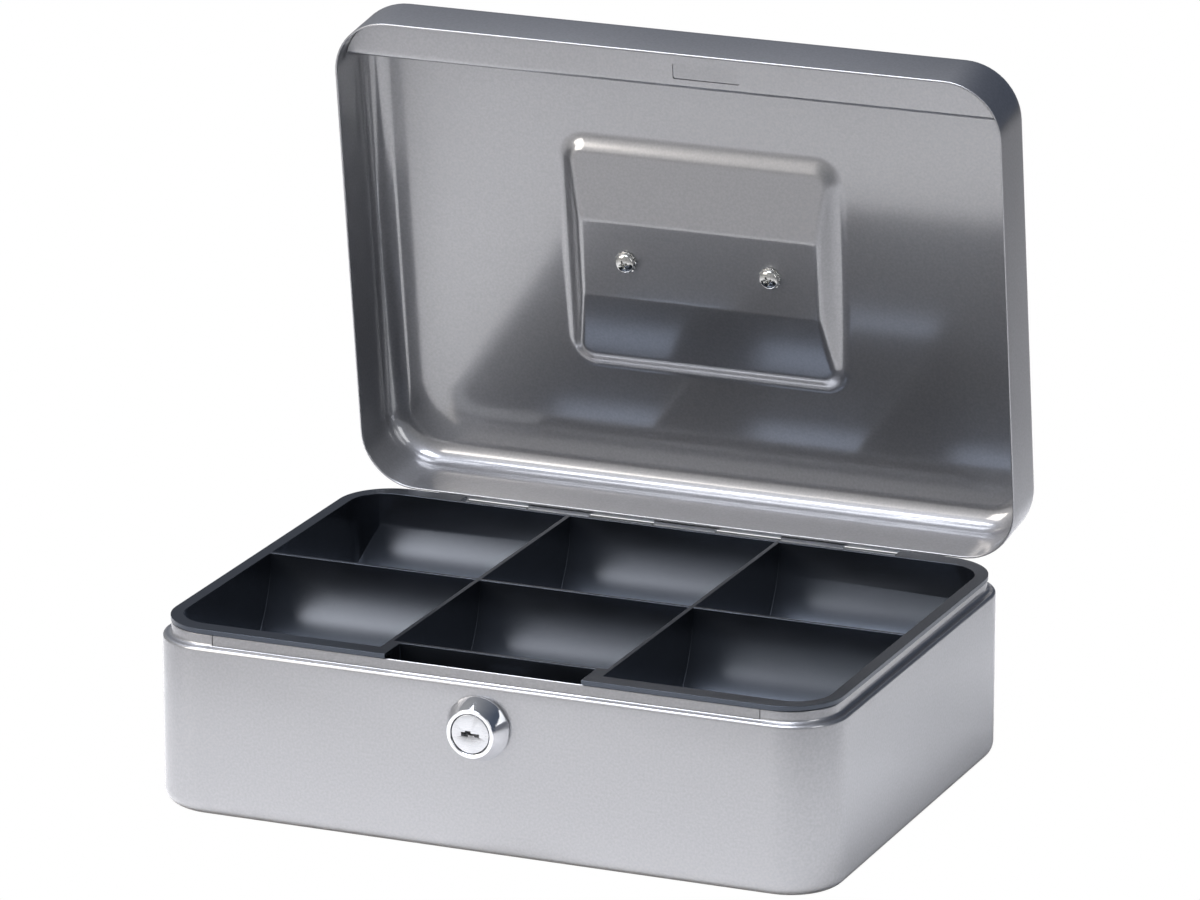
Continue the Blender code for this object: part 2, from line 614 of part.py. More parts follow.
def lock_plug():
    """The turning plug: keyway, wafer slots, and a square stub behind that carries the cam."""
    length = LOCK_PROJECTION + LOCK_BACK_FROM_FRONT - 2 * FIT_GAP
    front = LOCK_PROJECTION - FIT_GAP
    radius = LOCK_PLUG_RADIUS
    chamfer = LOCK_PLUG_CHAMFER
    profile = [(0.0, front), (radius - chamfer, front), (radius, front - chamfer), (radius, front - length),
               (0.0, front - length)]
    place = lock_place(FRONT_Y)
    plug = turned("lock_plug", profile, place, 40, chrome)
    back = FRONT_Y - front + length
    half = CAM_STUB_SIDE / 2
    stub = box("cam_stub", (-half, back - MM, LOCK_Z - half),
               (half, CAM_Y + CAM_THICKNESS + FIT_GAP, LOCK_Z + half))
    boolean(plug, cutter(stub), "UNION")
    mouth = FRONT_Y - LOCK_PROJECTION
    keyway = box("keyway", (-KEYWAY_WIDTH / 2, mouth - MM, LOCK_Z - KEYWAY_HEIGHT / 2),
                 (KEYWAY_WIDTH / 2, mouth + KEYWAY_DEPTH, LOCK_Z + KEYWAY_HEIGHT / 2))
    boolean(plug, cutter(keyway))
    ward = cylinder("keyway_ward", KEYWAY_HEIGHT * 0.45, mouth - MM, mouth + KEYWAY_DEPTH, "Y",
                    (KEYWAY_WIDTH * 0.1, 0, LOCK_Z - KEYWAY_HEIGHT / 2), 16)
    boolean(plug, cutter(ward))
    for number in range(WAFER_COUNT):
        middle = wafer_y(number)
        half_length = WAFER_LENGTH / 2 + WAFER_TRAVEL / 2 + FIT_GAP
        half_thickness = WAFER_THICKNESS / 2 + FIT_GAP
        half_height = WAFER_HEIGHT / 2 + FIT_GAP
        slot = box(f"wafer_slot_{number + 1}",
                   (-half_length, middle - half_thickness, LOCK_Z - half_height),
                   (half_length, middle + half_thickness, LOCK_Z + half_height))
        boolean(plug, cutter(slot))
    tapped = cylinder("cam_screw_hole", CAM_SCREW_RADIUS + FIT_GAP, CAM_Y - CAM_SCREW_LENGTH,
                      CAM_Y + CAM_THICKNESS + MM, "Y", (0, 0, LOCK_Z), 16)
    boolean(plug, cutter(tapped))
    return plug


def wafer_y(number):
    return FRONT_Y - LOCK_PROJECTION + WAFER_FIRST + number * WAFER_PITCH


def lock_wafer(number):
    """One wafer: a plate with a window for the key, sprung along X inside the plug."""
    middle = wafer_y(number)
    half_height = WAFER_HEIGHT / 2
    offset = -WAFER_TRAVEL / 2
    wafer = box(f"lock_wafer_{number + 1}",
                (offset - WAFER_LENGTH / 2, middle - WAFER_THICKNESS / 2, LOCK_Z - half_height),
                (offset + WAFER_LENGTH / 2, middle + WAFER_THICKNESS / 2, LOCK_Z + half_height), brass)
    window = box(f"wafer_window_{number + 1}",
                 (offset - KEYWAY_WIDTH / 2, middle - WAFER_THICKNESS, LOCK_Z - KEYWAY_HEIGHT / 2 - FIT_GAP),
                 (offset + KEYWAY_WIDTH / 2 + WAFER_TRAVEL, middle + WAFER_THICKNESS,
                  LOCK_Z + KEYWAY_HEIGHT / 2 + FIT_GAP))
    boolean(wafer, cutter(window))
    return wafer


def lock_nut():
    """The hexagon nut that clamps the housing to the front wall and the lock plate."""
    radius = LOCK_NUT_ACROSS_FLATS / 2 / math.cos(math.radians(30))
    front = PLATE_Y + SHEET + FIT_GAP
    place = Matrix.Translation((0, front + LOCK_NUT_THICKNESS / 2, LOCK_Z)) @ axis_turn("Y")
    nut = extruded("lock_nut", arc((0, 0), radius, 0, 300, 5), place, LOCK_NUT_THICKNESS, zinc)
    bore = cylinder("nut_bore", LOCK_BARREL_RADIUS + FIT_GAP, front - MM, front + 2 * LOCK_NUT_THICKNESS,
                    "Y", (0, 0, LOCK_Z), 40)
    boolean(nut, cutter(bore))
    return nut


def lock_cam():
    """The hook that swings up through the strike: hub, arm and a nose that follows its own circle."""
    rest = CAM_LOCKED_ARM_ANGLE - 90
    half_angle = math.degrees(math.asin(CAM_ARM_WIDTH / 2 / CAM_NOSE_OUTER))
    inner_angle = math.degrees(math.asin(CAM_ARM_WIDTH / 2 / CAM_NOSE_INNER))
    root_angle = math.degrees(math.asin(CAM_ARM_WIDTH / 2 / CAM_HUB_RADIUS))
    outline = arc((0, 0), CAM_HUB_RADIUS, root_angle, 360 - root_angle, 16)
    outline += arc((0, 0), CAM_NOSE_OUTER, -half_angle, CAM_NOSE_SWEEP, 8)
    outline += arc((0, 0), CAM_NOSE_INNER, CAM_NOSE_SWEEP - CAM_NOSE_SLANT, inner_angle, 6)
    place = lock_place(CAM_Y + CAM_THICKNESS / 2) @ Matrix.Rotation(math.radians(rest), 4, "Z")
    cam = extruded("lock_cam", outline, place, CAM_THICKNESS, zinc)
    half = CAM_STUB_SIDE / 2 + FIT_GAP
    hole = box("cam_square", (-half, CAM_Y - MM, LOCK_Z - half),
               (half, CAM_Y + CAM_THICKNESS + MM, LOCK_Z + half))
    boolean(cam, cutter(hole))
    return cam


def cam_fasteners():
    """The washer and the screw that hold the cam on the plug's stub."""
    behind = Matrix.Rotation(math.radians(-90), 4, "X")
    ring_y = CAM_Y + CAM_THICKNESS + 2 * FIT_GAP
    ring = washer("cam_washer", Matrix.Translation((0, ring_y, LOCK_Z)) @ behind, CAM_WASHER_RADIUS,
                  CAM_SCREW_RADIUS + FIT_GAP, CAM_WASHER_THICKNESS, zinc)
    head_y = ring_y + CAM_WASHER_THICKNESS + FIT_GAP
    screw = pan_screw("cam_screw", Matrix.Translation((0, head_y, LOCK_Z)) @ behind, CAM_SCREW_HEAD_RADIUS,
                      CAM_SCREW_HEAD_HEIGHT, CAM_SCREW_RADIUS, CAM_SCREW_LENGTH, nickel)
    return ring, screw


# --- the coin tray --------------------------------------------------------------------------------
def tray_wells():
    """The six coin wells as (x low, x high, y low, y high, pipe centre y, pipe radius) at the rim."""
    right = BOX_WIDTH / 2 - TRAY_RIM_INSET - TRAY_SIDE_RIM
    left = -right
    front = FRONT_Y + TRAY_RIM_INSET + TRAY_FRONT_RIM
    back = BACK_Y - TRAY_RIM_INSET - TRAY_BACK_RIM
    half_wall = TRAY_WALL / 2
    columns = ((left, TRAY_DIVIDERS_X[0] - half_wall), (TRAY_DIVIDERS_X[0] + half_wall,
               TRAY_DIVIDERS_X[1] - half_wall), (TRAY_DIVIDERS_X[1] + half_wall, right))
    rows = ((front, TRAY_DIVIDER_Y - half_wall), (TRAY_DIVIDER_Y + half_wall, back))
    notch_inner = FRONT_Y + TRAY_RIM_INSET + TRAY_NOTCH_BACK + TRAY_WALL
    for row, (low, high) in enumerate(rows):
        for column, (start, end) in enumerate(columns):
            near = notch_inner if row == 0 and column == 1 else low
            yield start, end, near, high, (low + high) / 2, (high - low) / 2


def coin_tray():
    """The lift-out tray: one plastic moulding with six half-round wells and a rim that sits on the lip."""
    wells = list(tray_wells())
    left, right = wells[0][0], wells[2][1]
    front, back = wells[0][2], wells[3][3]
    middle = ((left + right) / 2, (front + back) / 2)
    width, depth = right - left, back - front
    rim = rounded_prism("coin_tray", BOX_WIDTH - 2 * TRAY_RIM_INSET, BOX_DEPTH - 2 * TRAY_RIM_INSET,
                        TRAY_RIM_RADIUS, TRAY_TOP - TRAY_RIM_THICKNESS, TRAY_TOP)
    rim.data.materials.append(black_plastic)
    deep = TRAY_TOP - (back - front)
    body = rounded_prism("tray_body", width + 2 * TRAY_WALL, depth + 2 * TRAY_WALL,
                         TRAY_POCKET_RADIUS + TRAY_WALL, deep, TRAY_TOP - TRAY_RIM_THICKNESS / 2, middle)
    pipes = [cylinder(f"tray_pipe_{row}", wells[3 * row][5] + TRAY_WALL, left - BOX_DEPTH, right + BOX_DEPTH,
                      "X", (0, wells[3 * row][4], TRAY_TOP), 64) for row in range(2)]
    boolean(pipes[0], cutter(pipes[1]), "UNION")
    boolean(body, cutter(pipes[0]), "INTERSECT")
    boolean(rim, cutter(body), "UNION")
    pocket = rounded_prism("tray_pocket", width, depth, TRAY_POCKET_RADIUS, deep, TRAY_TOP + LIP_HEIGHT,
                           middle)
    cutter(pocket)
    for number, (start, end, low, high, centre, radius) in enumerate(wells):
        scoop = cylinder(f"tray_scoop_{number}", radius, start, end, "X", (0, centre, TRAY_TOP), 64)
        boolean(scoop, pocket, "INTERSECT")
        if low > centre - radius + MM:
            keep = box(f"tray_keep_{number}", (start - MM, low, deep),
                       (end + MM, high + MM, TRAY_TOP + radius))
            boolean(scoop, cutter(keep), "INTERSECT")
        boolean(rim, cutter(scoop))
    notch_back = FRONT_Y + TRAY_RIM_INSET + TRAY_NOTCH_BACK
    notch = box("tray_notch", (TRAY_NOTCH_LEFT, FRONT_Y - MM, deep),
                (TRAY_NOTCH_RIGHT, notch_back, LID_TOP_Z))
    boolean(rim, cutter(notch))
    relief_y = back + TRAY_WALL
    relief = box("tray_relief", (TRAY_RELIEF_LEFT, relief_y, deep),
                 (TRAY_RELIEF_RIGHT, BACK_Y + MM, LID_TOP_Z))
    boolean(rim, cutter(relief))
    return rim


# --- the assembly ---------------------------------------------------------------------------------
def under(parent, *children):
    for child in children:
        child.parent = parent
        child.matrix_parent_inverse = parent.matrix_world.inverted()


def pivot(name, place):
    made = bpy.data.objects.new(name, None)
    made.empty_display_size = 20 * MM
    parts.objects.link(made)
    made.matrix_world = place
    return made


def build():
    base_shell()
    front_plate()
    coin_tray()
    base_leaf, lid_leaf, pin = hinge()

    lock_housing()
    lock_nut()
    lock_turn = pivot("lock_turn", Matrix.Translation((0, FRONT_Y, LOCK_Z)))
    bpy.context.view_layer.update()
    under(lock_turn, lock_plug(), lock_cam(), *cam_fasteners())
    under(lock_turn, *[lock_wafer(number) for number in range(WAFER_COUNT)])

    lid_pivot = pivot("lid_pivot", Matrix.Translation((0, HINGE_Y, HINGE_Z)))
    handle_pivot = pivot("handle_pivot", Matrix.Translation((RECESS_CENTRE_X, 0, HANDLE_PIVOT_Z)))
    bpy.context.view_layer.update()
    bail = handle_bail()
    bail.parent = handle_pivot
    under(lid_pivot, handle_pivot, lid_shell(), strike_bar(), lid_leaf)
    handle_pivot.rotation_euler.x = handle_rest_angle()
    for side, word in ((-1, "left"), (1, "right")):
        seat = Matrix.Translation((screw_x(side), 0, RECESS_INNER_Z - FIT_GAP)) @ Matrix.Rotation(math.pi, 4, "X")
        ring = washer(f"handle_washer_{word}", seat, HANDLE_WASHER_RADIUS, HANDLE_SCREW_RADIUS + FIT_GAP,
                      HANDLE_WASHER_THICKNESS, nickel)
        head = seat @ Matrix.Translation((0, 0, HANDLE_WASHER_THICKNESS + FIT_GAP))
        shank = HANDLE_SCREW_LENGTH + HANDLE_WASHER_THICKNESS + FIT_GAP
        screw = pan_screw(f"handle_screw_{word}", head, HANDLE_SCREW_HEAD_RADIUS, HANDLE_SCREW_HEAD_HEIGHT,
                          HANDLE_SCREW_RADIUS, shank, nickel)
        bpy.context.view_layer.update()
        under(lid_pivot, handle_post(f"handle_post_{word}", side), ring, screw)
    lid_pivot.rotation_euler.x = -math.radians(LID_OPEN_ANGLE)


for old in list(bpy.data.objects):
    bpy.data.objects.remove(old, do_unlink=True)
parts = bpy.data.collections.new("cash_box")
cutters = bpy.data.collections.new("cash_box_cutters")
bpy.context.scene.collection.children.link(parts)
bpy.context.scene.collection.children.link(cutters)

steel = material("silver_lacquered_steel", (0.52, 0.53, 0.55), 0.35, 0.85)
hinge_steel = material("bright_steel", (0.6, 0.6, 0.6), 0.35, 1.0)
chrome = material("chromed_steel", (0.8, 0.8, 0.8), 0.08, 1.0)
nickel = material("nickelled_steel", (0.7, 0.69, 0.65), 0.2, 1.0)
zinc = material("zinc_plated_steel", (0.62, 0.63, 0.64), 0.4, 1.0)
brass = material("brass", (0.6, 0.45, 0.2), 0.35, 1.0)
black_plastic = material("black_polystyrene", (0.02, 0.02, 0.022), 0.35, 0.0)
handle_plastic = material("black_nylon", (0.02, 0.02, 0.02), 0.5, 0.0)

build()
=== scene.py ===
# %% [markdown]
# # A steel cash box, seen open
# The box is a few drawn and folded sheets, a moulded coin tray, a cam lock and a small folding
# handle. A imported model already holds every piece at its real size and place. Here each piece that
# shows is made again with the soft bends, rounded edges and surfaces that the factory gives it.

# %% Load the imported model
import json
import math

import bmesh
import bpy
from mathutils import Matrix, Vector

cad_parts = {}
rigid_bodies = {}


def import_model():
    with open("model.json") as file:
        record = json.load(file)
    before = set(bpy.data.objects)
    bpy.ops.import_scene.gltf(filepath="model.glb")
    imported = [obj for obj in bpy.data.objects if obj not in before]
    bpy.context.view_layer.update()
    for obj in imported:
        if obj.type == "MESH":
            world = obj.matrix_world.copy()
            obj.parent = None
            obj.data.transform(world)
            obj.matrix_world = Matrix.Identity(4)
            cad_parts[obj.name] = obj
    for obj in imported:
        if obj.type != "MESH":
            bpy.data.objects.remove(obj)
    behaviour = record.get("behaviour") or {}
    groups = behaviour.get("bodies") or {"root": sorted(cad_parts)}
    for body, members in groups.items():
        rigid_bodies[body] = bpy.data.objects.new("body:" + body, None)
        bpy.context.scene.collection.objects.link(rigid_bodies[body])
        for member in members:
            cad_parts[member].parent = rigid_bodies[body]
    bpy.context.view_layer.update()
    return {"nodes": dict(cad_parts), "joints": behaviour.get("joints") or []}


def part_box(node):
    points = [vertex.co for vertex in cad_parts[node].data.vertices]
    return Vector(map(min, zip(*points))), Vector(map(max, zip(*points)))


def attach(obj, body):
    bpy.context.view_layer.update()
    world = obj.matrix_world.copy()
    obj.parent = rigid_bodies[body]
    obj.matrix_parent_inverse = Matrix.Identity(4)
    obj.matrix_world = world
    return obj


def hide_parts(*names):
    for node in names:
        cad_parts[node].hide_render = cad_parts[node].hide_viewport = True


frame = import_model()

# %% [markdown]
# ## Where things are
# The lid is easiest to think about while it is shut, because then its walls stand square. So it is
# built shut and turned about the hinge at the end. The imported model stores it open: turning its
# points back tells how deep the lid is and where its parts sit.

# %% The hinge and the shut lid
MM = 0.001


def joint(name):
    return next(item for item in frame["joints"] if item["name"] == name)


hinge_axis = Vector(joint("lid_hinge")["pos_m"])
open_angle = math.radians(joint("lid_hinge")["range_deg"][1])
to_hinge = Matrix.Translation(hinge_axis)
shutting = to_hinge @ Matrix.Rotation(open_angle, 4, "X") @ to_hinge.inverted()
opening = shutting.inverted()


def shut_box(node):
    """Lowest and highest corner of a lid piece with the lid turned shut."""
    spots = [shutting @ vertex.co for vertex in frame["nodes"][node].data.vertices]
    return (Vector([min(spot[axis] for spot in spots) for axis in range(3)]),
            Vector([max(spot[axis] for spot in spots) for axis in range(3)]))


body_low, body_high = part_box("base_shell")
lid_low, lid_high = shut_box("lid_shell")
print("body:", [round(side / MM, 1) for side in body_high - body_low], "mm")
print("lid: ", [round(side / MM, 1) for side in lid_high - lid_low], "mm")

# %% Sizes shared by several pieces
box_width = body_high.x - body_low.x
box_depth = lid_high.y - lid_low.y
front_y, back_y = body_low.y, -body_low.y
sheet = 0.8 * MM
fit_gap = 0.3 * MM
plan_radius = 20.5 * MM
shoulder_z = hinge_axis.z
lip_inset = 3.0 * MM
lip_top = body_high.z
lid_rim_z, lid_top_z = lid_low.z, lid_high.z

# %% [markdown]
# ## Camera
# A long lens from a good distance keeps the box's sides nearly parallel, as in a catalogue picture.

# %% The camera
camera_data = bpy.data.cameras.new("catalogue_camera")
camera_data.sensor_width = 36.0
camera_data.lens = 241.08
camera = bpy.data.objects.new("catalogue_camera", camera_data)
bpy.context.scene.collection.objects.link(camera)
camera_spot = Vector((1.02120, -2.43313, 0.91846))
camera_target = Vector((0.00638, 0.0, 0.11925))
camera_roll = math.radians(0.08)
aim = (camera_target - camera_spot).to_track_quat("-Z", "Y").to_matrix().to_4x4()
camera.matrix_world = Matrix.Translation(camera_spot) @ aim @ Matrix.Rotation(camera_roll, 4, "Z")
bpy.context.scene.camera = camera
print("camera stands", round((camera_target - camera_spot).length, 2), "m away")

# %% [markdown]
# ## Materials
# Every surface is worked out from the point's own place on the object, in millimetres, so nothing
# has to be unwrapped. One function reads a colour from its hex code, one adds a shader node, and
# one starts a material. Grain and ripples are noise whose size is a real length.

# %% Material helpers
def colour(code):
    """A hex colour as the linear numbers that a shader works with."""
    channels = [int(code[at:at + 2], 16) / 255 for at in (1, 3, 5)]
    linear = [c / 12.92 if c <= 0.04045 else ((c + 0.055) / 1.055) ** 2.4 for c in channels]
    return (*linear, 1.0)


def add(tree, kind, inputs=None, **settings):
    """One node: its settings, then its inputs, each a value or another node's output."""
    node = tree.nodes.new(kind)
    for name, value in settings.items():
        setattr(node, name, value)
    for name, value in (inputs or {}).items():
        if isinstance(value, bpy.types.NodeSocket):
            tree.links.new(value, node.inputs[name])
        else:
            node.inputs[name].default_value = value
    return node


def new_material(name, **shader):
    """A material with a plain Principled shader, its tree, and the point's own place."""
    made = bpy.data.materials.new(name)
    made.use_nodes = True
    tree = made.node_tree
    surface = tree.nodes["Principled BSDF"]
    for socket, value in shader.items():
        surface.inputs[socket.replace("_", " ")].default_value = value
    place = add(tree, "ShaderNodeTexCoord").outputs["Object"]
    return made, tree, surface, place


def grain(tree, place, size, detail=2.0, stretch=(1.0, 1.0, 1.0)):
    """Noise whose lumps are about the given size in metres, drawn out along an axis if asked."""
    scaled = add(tree, "ShaderNodeMapping", {"Vector": place, "Scale": [s / size for s in stretch]})
    noise = add(tree, "ShaderNodeTexNoise",
                {"Vector": scaled.outputs["Vector"], "Scale": 1.0, "Detail": detail})
    return noise.outputs["Fac"]


def spread(tree, value, low, high, start=0.3, end=0.7):
    """Noise from its usual span to a span from low to high."""
    return add(tree, "ShaderNodeMapRange", {"Value": value, "From Min": start, "From Max": end,
                                            "To Min": low, "To Max": high}).outputs["Result"]


def tint(tree, value, first, second):
    mix = add(tree, "ShaderNodeMix", {"Factor": value}, data_type="RGBA")
    mix.inputs[6].default_value = colour(first)
    mix.inputs[7].default_value = colour(second)
    return mix.outputs[2]


def relief(tree, surface, layers, edge=0.0):
    """Bumps one on another: (noise, height in metres), broadest first, over edges rounded by a radius."""
    normal = add(tree, "ShaderNodeBevel", {"Radius": edge}, samples=4).outputs["Normal"] if edge else None
    for value, height in layers:
        inputs = {"Height": value, "Distance": height, "Strength": 1.0}
        if normal:
            inputs["Normal"] = normal
        normal = add(tree, "ShaderNodeBump", inputs).outputs["Normal"]
    tree.links.new(normal, surface.inputs["Normal"])


# %% [markdown]
# ### Silver lacquer on drawn steel
# The sheet is deep-drawn, sprayed with a silver lacquer and baked. The eye gets four things: a
# blurred mirror from the metal flakes, a crisper one from the clear coat, a faint orange peel of
# about 3 mm, and a slow waviness of the sheet that bends long reflections.

# %% Silver lacquer
def silver_lacquer():
    made, tree, surface, place = new_material("silver_lacquered_steel", Metallic=1.0, Coat_Weight=1.0,
                                              Coat_Roughness=0.11, Coat_IOR=2.3)
    flakes = spread(tree, grain(tree, place, 0.9 * MM, 1.0), 0.0, 1.0)
    cloud = grain(tree, place, 60 * MM, 0.0)
    tree.links.new(tint(tree, flakes, "#939498", "#9B9CA0"), surface.inputs["Base Color"])
    tree.links.new(spread(tree, cloud, 0.44, 0.50, 0.1, 0.9), surface.inputs["Roughness"])
    wave = grain(tree, place, 38 * MM, 0.0)
    peel = grain(tree, place, 3.0 * MM, 1.0)
    relief(tree, surface, [(wave, 0.03 * MM), (peel, 0.006 * MM)])
    return made


lacquer = silver_lacquer()

# %% [markdown]
# ### Black polystyrene
# The tray is injection-moulded. Its mould was polished by hand, so the plastic is satin: it mirrors
# a light softly and a little blue, with faint streaks. A mould has no knife edges, so the shader
# rounds the way each edge takes the light.

# %% Black polystyrene
def moulded_polystyrene():
    made, tree, surface, place = new_material("moulded_black_polystyrene", IOR=1.59, Specular_IOR_Level=1.0,
                                              Specular_Tint=colour("#D9E6FB"))
    streaks = grain(tree, place, 6 * MM, 1.0, stretch=(0.3, 0.7, 0.7))
    shade = tint(tree, spread(tree, streaks, 0.0, 1.0), "#0E1013", "#14161A")
    tree.links.new(shade, surface.inputs["Base Color"])
    tree.links.new(spread(tree, streaks, 0.23, 0.26, 0.1, 0.9), surface.inputs["Roughness"])
    relief(tree, surface, [(grain(tree, place, 0.6 * MM, 1.0), 0.001 * MM)], 0.35 * MM)
    return made


polystyrene = moulded_polystyrene()

# %% [markdown]
# ### The bright metals
# Chrome is a near mirror, so its look comes from the lights and from a thin haze. The plug's face
# keeps the fine scratches of a brush. Nickel is nearly white, and on small stamped screws a little
# uneven. Zinc plate is duller, with a slight mottle. The hinge is plain rolled steel, and the wafers
# are stamped brass.

# %% Bright metals
def plated(name, light, dark, low, high, size, height, stretch=(1.0, 1.0, 1.0)):
    made, tree, surface, place = new_material(name, Metallic=1.0)
    patches = grain(tree, place, size, 2.0, stretch)
    tree.links.new(tint(tree, spread(tree, patches, 0.0, 1.0), dark, light), surface.inputs["Base Color"])
    tree.links.new(spread(tree, patches, low, high), surface.inputs["Roughness"])
    relief(tree, surface, [(patches, height)])
    return made


chrome = plated("bright_chrome_plate", "#EDEEF0", "#E2E4E8", 0.04, 0.09, 4 * MM, 0.004 * MM)
brushed_chrome = plated("brushed_chrome_face", "#D9DADC", "#C4C6CA", 0.16, 0.30, 0.5 * MM, 0.004 * MM,
                        (0.1, 1, 1))
nickel = plated("nickelled_screw_steel", "#DEDEDC", "#BEBEBB", 0.10, 0.22, 0.7 * MM, 0.008 * MM)
zinc = plated("zinc_plated_steel", "#C3C6CB", "#A2A6AC", 0.30, 0.45, 1.6 * MM, 0.01 * MM)
hinge_steel = plated("cold_rolled_hinge_steel", "#AEB0B3", "#979A9E", 0.30, 0.42, 2.0 * MM, 0.006 * MM,
                     (0.15, 1, 1))
brass = plated("stamped_brass", "#C9A562", "#A9854A", 0.22, 0.34, 1.2 * MM, 0.006 * MM)

# %% [markdown]
# ### Nylon for the handle's blocks
# Black nylon comes from a spark-eroded mould, which leaves a fine even grain and a matt surface.

# %% Moulded nylon
def moulded_nylon():
    made, tree, surface, place = new_material("moulded_black_nylon", IOR=1.53)
    pits = grain(tree, place, 0.45 * MM, 3.0)
    shade = tint(tree, spread(tree, pits, 0.0, 1.0), "#18181A", "#222224")
    tree.links.new(shade, surface.inputs["Base Color"])
    tree.links.new(spread(tree, pits, 0.42, 0.58), surface.inputs["Roughness"])
    relief(tree, surface, [(pits, 0.02 * MM)])
    return made


nylon = moulded_nylon()

# %% [markdown]
# ## Mesh helpers
# Sheet metal keeps its thickness round every bend. So a profile is drawn once, for the outer skin,
# and the inner skin is that line moved square to itself by the sheet's thickness. The profile is
# then carried round the box's rounded plan, ring by ring.

# %% Points on arcs and outlines
def arc(centre, radius, start, end, steps):
    """Points on a round stretch, in degrees."""
    turns = [math.radians(start + (end - start) * step / steps) for step in range(steps + 1)]
    return [(centre[0] + radius * math.cos(t), centre[1] + radius * math.sin(t)) for t in turns]


def rounded_outline(width, depth, radius, steps=14, centre=(0.0, 0.0)):
    """A rounded rectangle, counter-clockwise from its front left corner."""
    x, y = width / 2 - radius, depth / 2 - radius
    outline = []
    for side_x, side_y, start in ((-1, -1, 180), (1, -1, 270), (1, 1, 0), (-1, 1, 90)):
        corner = (centre[0] + side_x * x, centre[1] + side_y * y)
        outline += arc(corner, radius, start, start + 90, steps)
    return outline


def offset_line(points, distance):
    """The same open line moved square to itself, to the left of its direction."""
    normals = []
    for (x0, z0), (x1, z1) in zip(points, points[1:]):
        length = math.hypot(x1 - x0, z1 - z0)
        normals.append(((z0 - z1) / length, (x1 - x0) / length))
    moved = []
    for (x, z), before, after in zip(points, normals[:1] + normals, normals + normals[-1:]):
        share = distance / (1 + before[0] * after[0] + before[1] * after[1])
        moved.append((x + (before[0] + after[0]) * share, z + (before[1] + after[1]) * share))
    return moved


# %% Rings, bands and finished objects
def plan_ring(bm, inset, height):
    outline = rounded_outline(box_width - 2 * inset, box_depth - 2 * inset, plan_radius - inset)
    return [bm.verts.new((x, y, height)) for x, y in outline]


def band(bm, first, second):
    for a, b, c, d in zip(first, first[1:] + first[:1], second[1:] + second[:1], second):
        bm.faces.new((a, b, c, d))


def ring_edges(bm, ring):
    return [bm.edges.get(pair) or bm.edges.new(pair) for pair in zip(ring, ring[1:] + ring[:1])]


def to_object(name, bm, material, sharp=35.0, place=None):
    """A closed bmesh as an object at the origin: normals out, smooth, creases kept sharp."""
    if place:
        bmesh.ops.transform(bm, matrix=place, verts=bm.verts)
    bmesh.ops.recalc_face_normals(bm, faces=bm.faces)
    mesh = bpy.data.meshes.new(name)
    bm.to_mesh(mesh)
    bm.free()
    mesh.shade_smooth()
    mesh.set_sharp_from_angle(angle=math.radians(sharp))
    mesh.materials.append(material)
    made = bpy.data.objects.new(name, mesh)
    bpy.context.scene.collection.objects.link(made)
    return made


def baked(made, sharp=35.0):
    """The object with its modifiers worked into its mesh."""
    bpy.context.view_layer.update()
    mesh = bpy.data.meshes.new_from_object(made.evaluated_get(bpy.context.evaluated_depsgraph_get()))
    made.modifiers.clear()
    made.data = mesh
    mesh.shade_smooth()
    mesh.set_sharp_from_angle(angle=math.radians(sharp))
    return made


def cut(made, tools, operation="DIFFERENCE"):
    """Cuts an object with tools, or keeps only what it shares with them."""
    for tool in tools:
        change = made.modifiers.new("cut", "BOOLEAN")
        change.object = tool
        change.operation = operation
    baked(made)
    for tool in tools:
        bpy.data.objects.remove(tool)
    return made


def soften(made, width, segments=2, angle=40.0, sharp=35.0):
    """Rounds the edges that turn by more than an angle."""
    edge = made.modifiers.new("soften", "BEVEL")
    edge.width = width
    edge.segments = segments
    edge.limit_method = "ANGLE"
    edge.angle_limit = math.radians(angle)
    edge.miter_outer = "MITER_ARC"
    return baked(made, sharp)


def settle(made, body, slot, *nodes):
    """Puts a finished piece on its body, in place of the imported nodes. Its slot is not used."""
    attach(made, body)
    if nodes:
        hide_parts(*nodes)
    print(f"{made.name}: {len(made.data.polygons)} faces on {body}")
    return made


# %% Blocks, plates and turned shapes
def block(low, high):
    bm = bmesh.new()
    bmesh.ops.create_cube(bm, size=1.0)
    bmesh.ops.scale(bm, vec=Vector(high) - Vector(low), verts=bm.verts)
    bmesh.ops.translate(bm, vec=(Vector(high) + Vector(low)) / 2, verts=bm.verts)
    return bm


def plate(outline, low, high):
    """A flat outline in XY with its thickness from low to high."""
    bm = bmesh.new()
    rings = [[bm.verts.new((x, y, z)) for x, y in outline] for z in (low, high)]
    band(bm, *rings)
    for ring in rings:
        bm.faces.new(ring)
    return bm


def along_x(profile, start, end):
    """A closed (y, z) profile drawn out along X."""
    turn = Matrix(((0, 0, 1, 0), (1, 0, 0, 0), (0, 1, 0, 0), (0, 0, 0, 1)))
    bm = plate(profile, start, end)
    bmesh.ops.transform(bm, matrix=turn, verts=bm.verts)
    return bm


def lathe(profile, sides):
    """A closed (radius, height) profile turned about Z; points on the axis become poles."""
    bm = bmesh.new()
    rings = []
    for radius, height in profile:
        if radius < 0.001 * MM:
            rings.append([bm.verts.new((0, 0, height))] * sides)
        else:
            circle = arc((0, 0), radius, 0, 360 - 360 / sides, sides - 1)
            rings.append([bm.verts.new((x, y, height)) for x, y in circle])
    for first, second in zip(rings, rings[1:] + rings[:1]):
        for a, b, c, d in zip(first, first[1:] + first[:1], second[1:] + second[:1], second):
            corners = list(dict.fromkeys((a, b, c, d)))
            if len(corners) > 2:
                bm.faces.new(corners)
    return bm


TO_X = Matrix.Rotation(math.radians(90), 4, "Y")
TO_Y = Matrix.Rotation(math.radians(-90), 4, "X")

